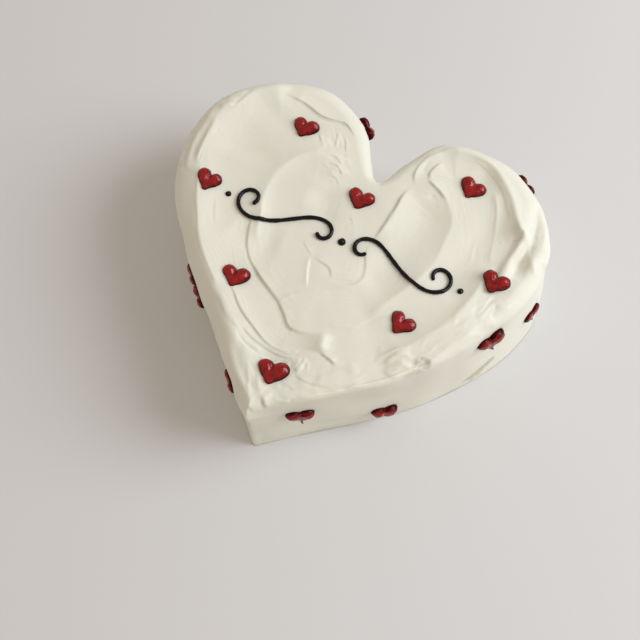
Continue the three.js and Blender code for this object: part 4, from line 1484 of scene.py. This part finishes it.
class CAKE_OT_wall_hearts(bpy.types.Operator):
    """Pipe the hearts on the wall of the cake."""

    bl_idname = "cake.wall_hearts"
    bl_label = "Wall Hearts"

    def execute(self, context):
        settings = context.scene.cake_hearts
        surface = surface_of(bpy.data.objects["cream_coat"])
        names = [f"side_heart_{number + 1}" for number in range(len(SIDE_HEART_DEPTHS))]
        shapes = [
            heart_shape(
                f"wall_heart_shape_{number}",
                settings,
                SEEDS["wall heart"] + number,
                spur=number != SPURLESS_SHAPE,
            )
            for number in range(settings.shapes)
        ]
        draw = np.random.default_rng(SEEDS["wall placing"])
        foot, out = foot_points(WALL_TOP_POINTS)
        feet = to_model(np.column_stack([foot, np.zeros(len(foot))]))
        spots = []
        for number, name in enumerate(names):
            low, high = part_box(name)
            middle = (low + high) / 2
            width = (high.z - low.z) / HEART_HEIGHT_SHARE
            nearest = np.hypot(feet[:, 0] - middle.x, feet[:, 1] - middle.y).argmin()
            outward = Vector((*out[nearest], 0))
            place, normal, _, _ = surface.ray_cast(middle + outward * RAY_OUTSIDE, -outward)
            normal = normal.lerp(outward, HEART_LEVELLING).normalized()
            across = UP.cross(normal).normalized()
            rotation = Matrix((across, normal.cross(across), normal)).transposed()
            turn = math.radians(draw.uniform(-WALL_HEART_TURN, WALL_HEART_TURN))
            spots.append(
                {
                    "place": place,
                    "turn": (rotation @ Matrix.Rotation(turn, 3, "Z")).to_euler(),
                    "size": width * Vector((1, draw.uniform(*WALL_HEART_LENGTHS), SIDE_HEART_DEPTHS[number])),
                    "kind": number % settings.shapes,
                }
            )
        # painted shade: the wall's hearts get a darker copy of the same icing
        darker = [part * WALL_SHADE for part in settings.colour]
        material = icing_material(
            "red_icing_wall_shaded", darker, roughness=0.38, side_shade_share=0.15, gloss_level=0.95
        )
        piece = piped_on_points("wall_hearts", spots, shapes, material)
        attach(piece, "root")
        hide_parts(*names)
        return {"FINISHED"}


def scroll_line(side):
    """Middle line of one half of the scroll, in the drawing frame. It bends more tightly to both ends."""
    total = INNER_ARM["length"] + OUTER_ARM["length"]
    step = total / SCROLL_STEPS
    travel = -INNER_ARM["length"] + (np.arange(SCROLL_STEPS) + 0.5) * step
    length = np.where(travel < 0, INNER_ARM["length"], OUTER_ARM["length"])
    curl = np.where(travel < 0, INNER_ARM["curl"], OUTER_ARM["curl"])
    heading = np.radians(SCROLL_TILT + curl * np.abs(travel / length) ** SCROLL_TIGHTENING)
    x = np.concatenate([[0], np.cumsum(step * np.cos(heading))])
    y = np.concatenate([[0], np.cumsum(step * np.sin(heading))])
    level = (y.max() + y.min()) / 2
    return np.column_stack([SCROLL_X + side * (SCROLL_GAP + x - x.min()), SCROLL_Y + y - level])


class CAKE_OT_scroll(bpy.types.Operator):
    """Pipe the scroll across the middle of the top."""

    bl_idname = "cake.scroll"
    bl_label = "Scroll"

    def execute(self, context):
        settings = context.scene.cake_scroll
        surface = surface_of(bpy.data.objects["cream_coat"])
        material = icing_material(
            "black_icing", settings.colour, roughness=0.3, side_shade_share=1.0, gloss_level=0.4
        )
        points = []
        edges = []
        for side in (-1, 1):
            line = to_model(np.column_stack([scroll_line(side), np.zeros(SCROLL_STEPS + 1)]))
            first = len(points)
            for x, y, _ in line:
                place, _ = dropped_onto(surface, x, y)
                points.append(tuple(place + settings.thickness * SCROLL_RISE * UP))
            edges.extend((first + i, first + i + 1) for i in range(SCROLL_STEPS))
        mesh = bpy.data.meshes.new("scroll_lines")
        mesh.from_pydata(points, edges, [])
        piece = link("scroll_lines", mesh)
        tree, identifiers = piped_line_tree()
        inputs = {
            "Thickness": settings.thickness,
            "Sides": settings.sides,
            "Spacing": SCROLL_SPACING,
            "Unevenness": settings.unevenness,
            "Finish": material,
        }
        shaped_by(piece, tree, identifiers, inputs)
        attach(piece, "root")
        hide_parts("scroll_left", "scroll_right")

        names = ["scroll_drop_left", "scroll_drop_middle", "scroll_drop_right"]
        spots = []
        for number, name in enumerate(names):
            low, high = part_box(name)
            middle = (low + high) / 2
            place, _ = dropped_onto(surface, middle.x, middle.y)
            spots.append(
                {
                    "place": place,
                    "turn": Euler((0, 0, math.radians(DROP_TURN * number))),
                    "size": (high.x - low.x) * Vector((1, 1, 1)),
                    "kind": number,
                }
            )
        shapes = [drop_shape(f"drop_shape_{number}", SEEDS["drop"] + number) for number in range(len(names))]
        drops = piped_on_points("scroll_drops", spots, shapes, material)
        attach(drops, "root")
        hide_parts(*names)
        return {"FINISHED"}


class CAKE_OT_stage(bpy.types.Operator):
    """Set up the floor, the soft light and the camera."""

    bl_idname = "cake.stage"
    bl_label = "Stage"

    def execute(self, context):
        settings = context.scene.cake_stage
        corners = [(x * FLOOR_HALF, y * FLOOR_HALF, 0) for x, y in ((-1, -1), (1, -1), (1, 1), (-1, 1))]
        floor = link("floor", mesh_from("floor", corners, [(0, 1, 2, 3)]))
        floor.data.materials.append(floor_material(settings.floor_colour))

        light = bpy.data.lights.new("soft_key", "AREA")
        light.shape = "DISK"
        light.size = LAMP_WIDTH
        light.energy = settings.key_power
        light.color = LAMP_COLOUR
        lamp = bpy.data.objects.new("soft_key", light)
        lamp.location = LAMP_PLACE
        aim = Vector(LAMP_AIM) - lamp.location
        lamp.rotation_euler = aim.to_track_quat("-Z", "Y").to_euler()
        context.scene.collection.objects.link(lamp)

        world = bpy.data.worlds.new("studio")
        context.scene.world = world
        world.use_nodes = True
        background = world.node_tree.nodes["Background"]
        background.inputs["Color"].default_value = SKY_COLOUR
        background.inputs["Strength"].default_value = settings.fill_strength

        camera = bpy.data.cameras.new("camera")
        camera.lens = CAMERA_LENS
        camera.sensor_width = CAMERA_SENSOR
        camera.clip_start = CAMERA_NEAR
        viewer = bpy.data.objects.new("camera", camera)
        right = Vector(CAMERA_RIGHT)
        up = Vector(CAMERA_UP)
        turn = Matrix((right, up, right.cross(up))).transposed().to_4x4()
        viewer.matrix_world = Matrix.Translation(Vector(to_model([CAMERA_PLACE])[0])) @ turn
        context.scene.collection.objects.link(viewer)
        context.scene.camera = viewer
        context.scene.view_settings.view_transform = "Standard"
        return {"FINISHED"}


class CAKE_PT_panel(bpy.types.Panel):
    """Lists the pieces of the cake and their sizes."""

    bl_idname = "CAKE_PT_panel"
    bl_label = "Heart Shaped Cake"
    bl_space_type = "VIEW_3D"
    bl_region_type = "UI"
    bl_category = "Cake"

    def draw(self, context):
        layout = self.layout
        for operator in OPERATORS:
            layout.operator(operator.bl_idname)
        for name, _ in SETTINGS:
            settings = getattr(context.scene, name)
            box = layout.box()
            for key in settings.__annotations__:
                box.prop(settings, key)


SETTINGS = [
    ("cake_cream", CreamSettings),
    ("cake_hearts", HeartSettings),
    ("cake_scroll", ScrollSettings),
    ("cake_stage", StageSettings),
]
OPERATORS = [CAKE_OT_cream, CAKE_OT_top_hearts, CAKE_OT_wall_hearts, CAKE_OT_scroll, CAKE_OT_stage]
CLASSES = [group for _, group in SETTINGS] + OPERATORS + [CAKE_PT_panel]


def register():
    for cls in CLASSES:
        bpy.utils.register_class(cls)
    for name, group in SETTINGS:
        setattr(bpy.types.Scene, name, PointerProperty(type=group))


def unregister():
    for name, _ in SETTINGS:
        delattr(bpy.types.Scene, name)
    for cls in reversed(CLASSES):
        bpy.utils.unregister_class(cls)


def main():
    """Build every piece in order."""
    register()
    bpy.ops.cake.cream()
    bpy.ops.cake.top_hearts()
    bpy.ops.cake.wall_hearts()
    bpy.ops.cake.scroll()
    bpy.ops.cake.stage()


if __name__ == "__main__":
    main()
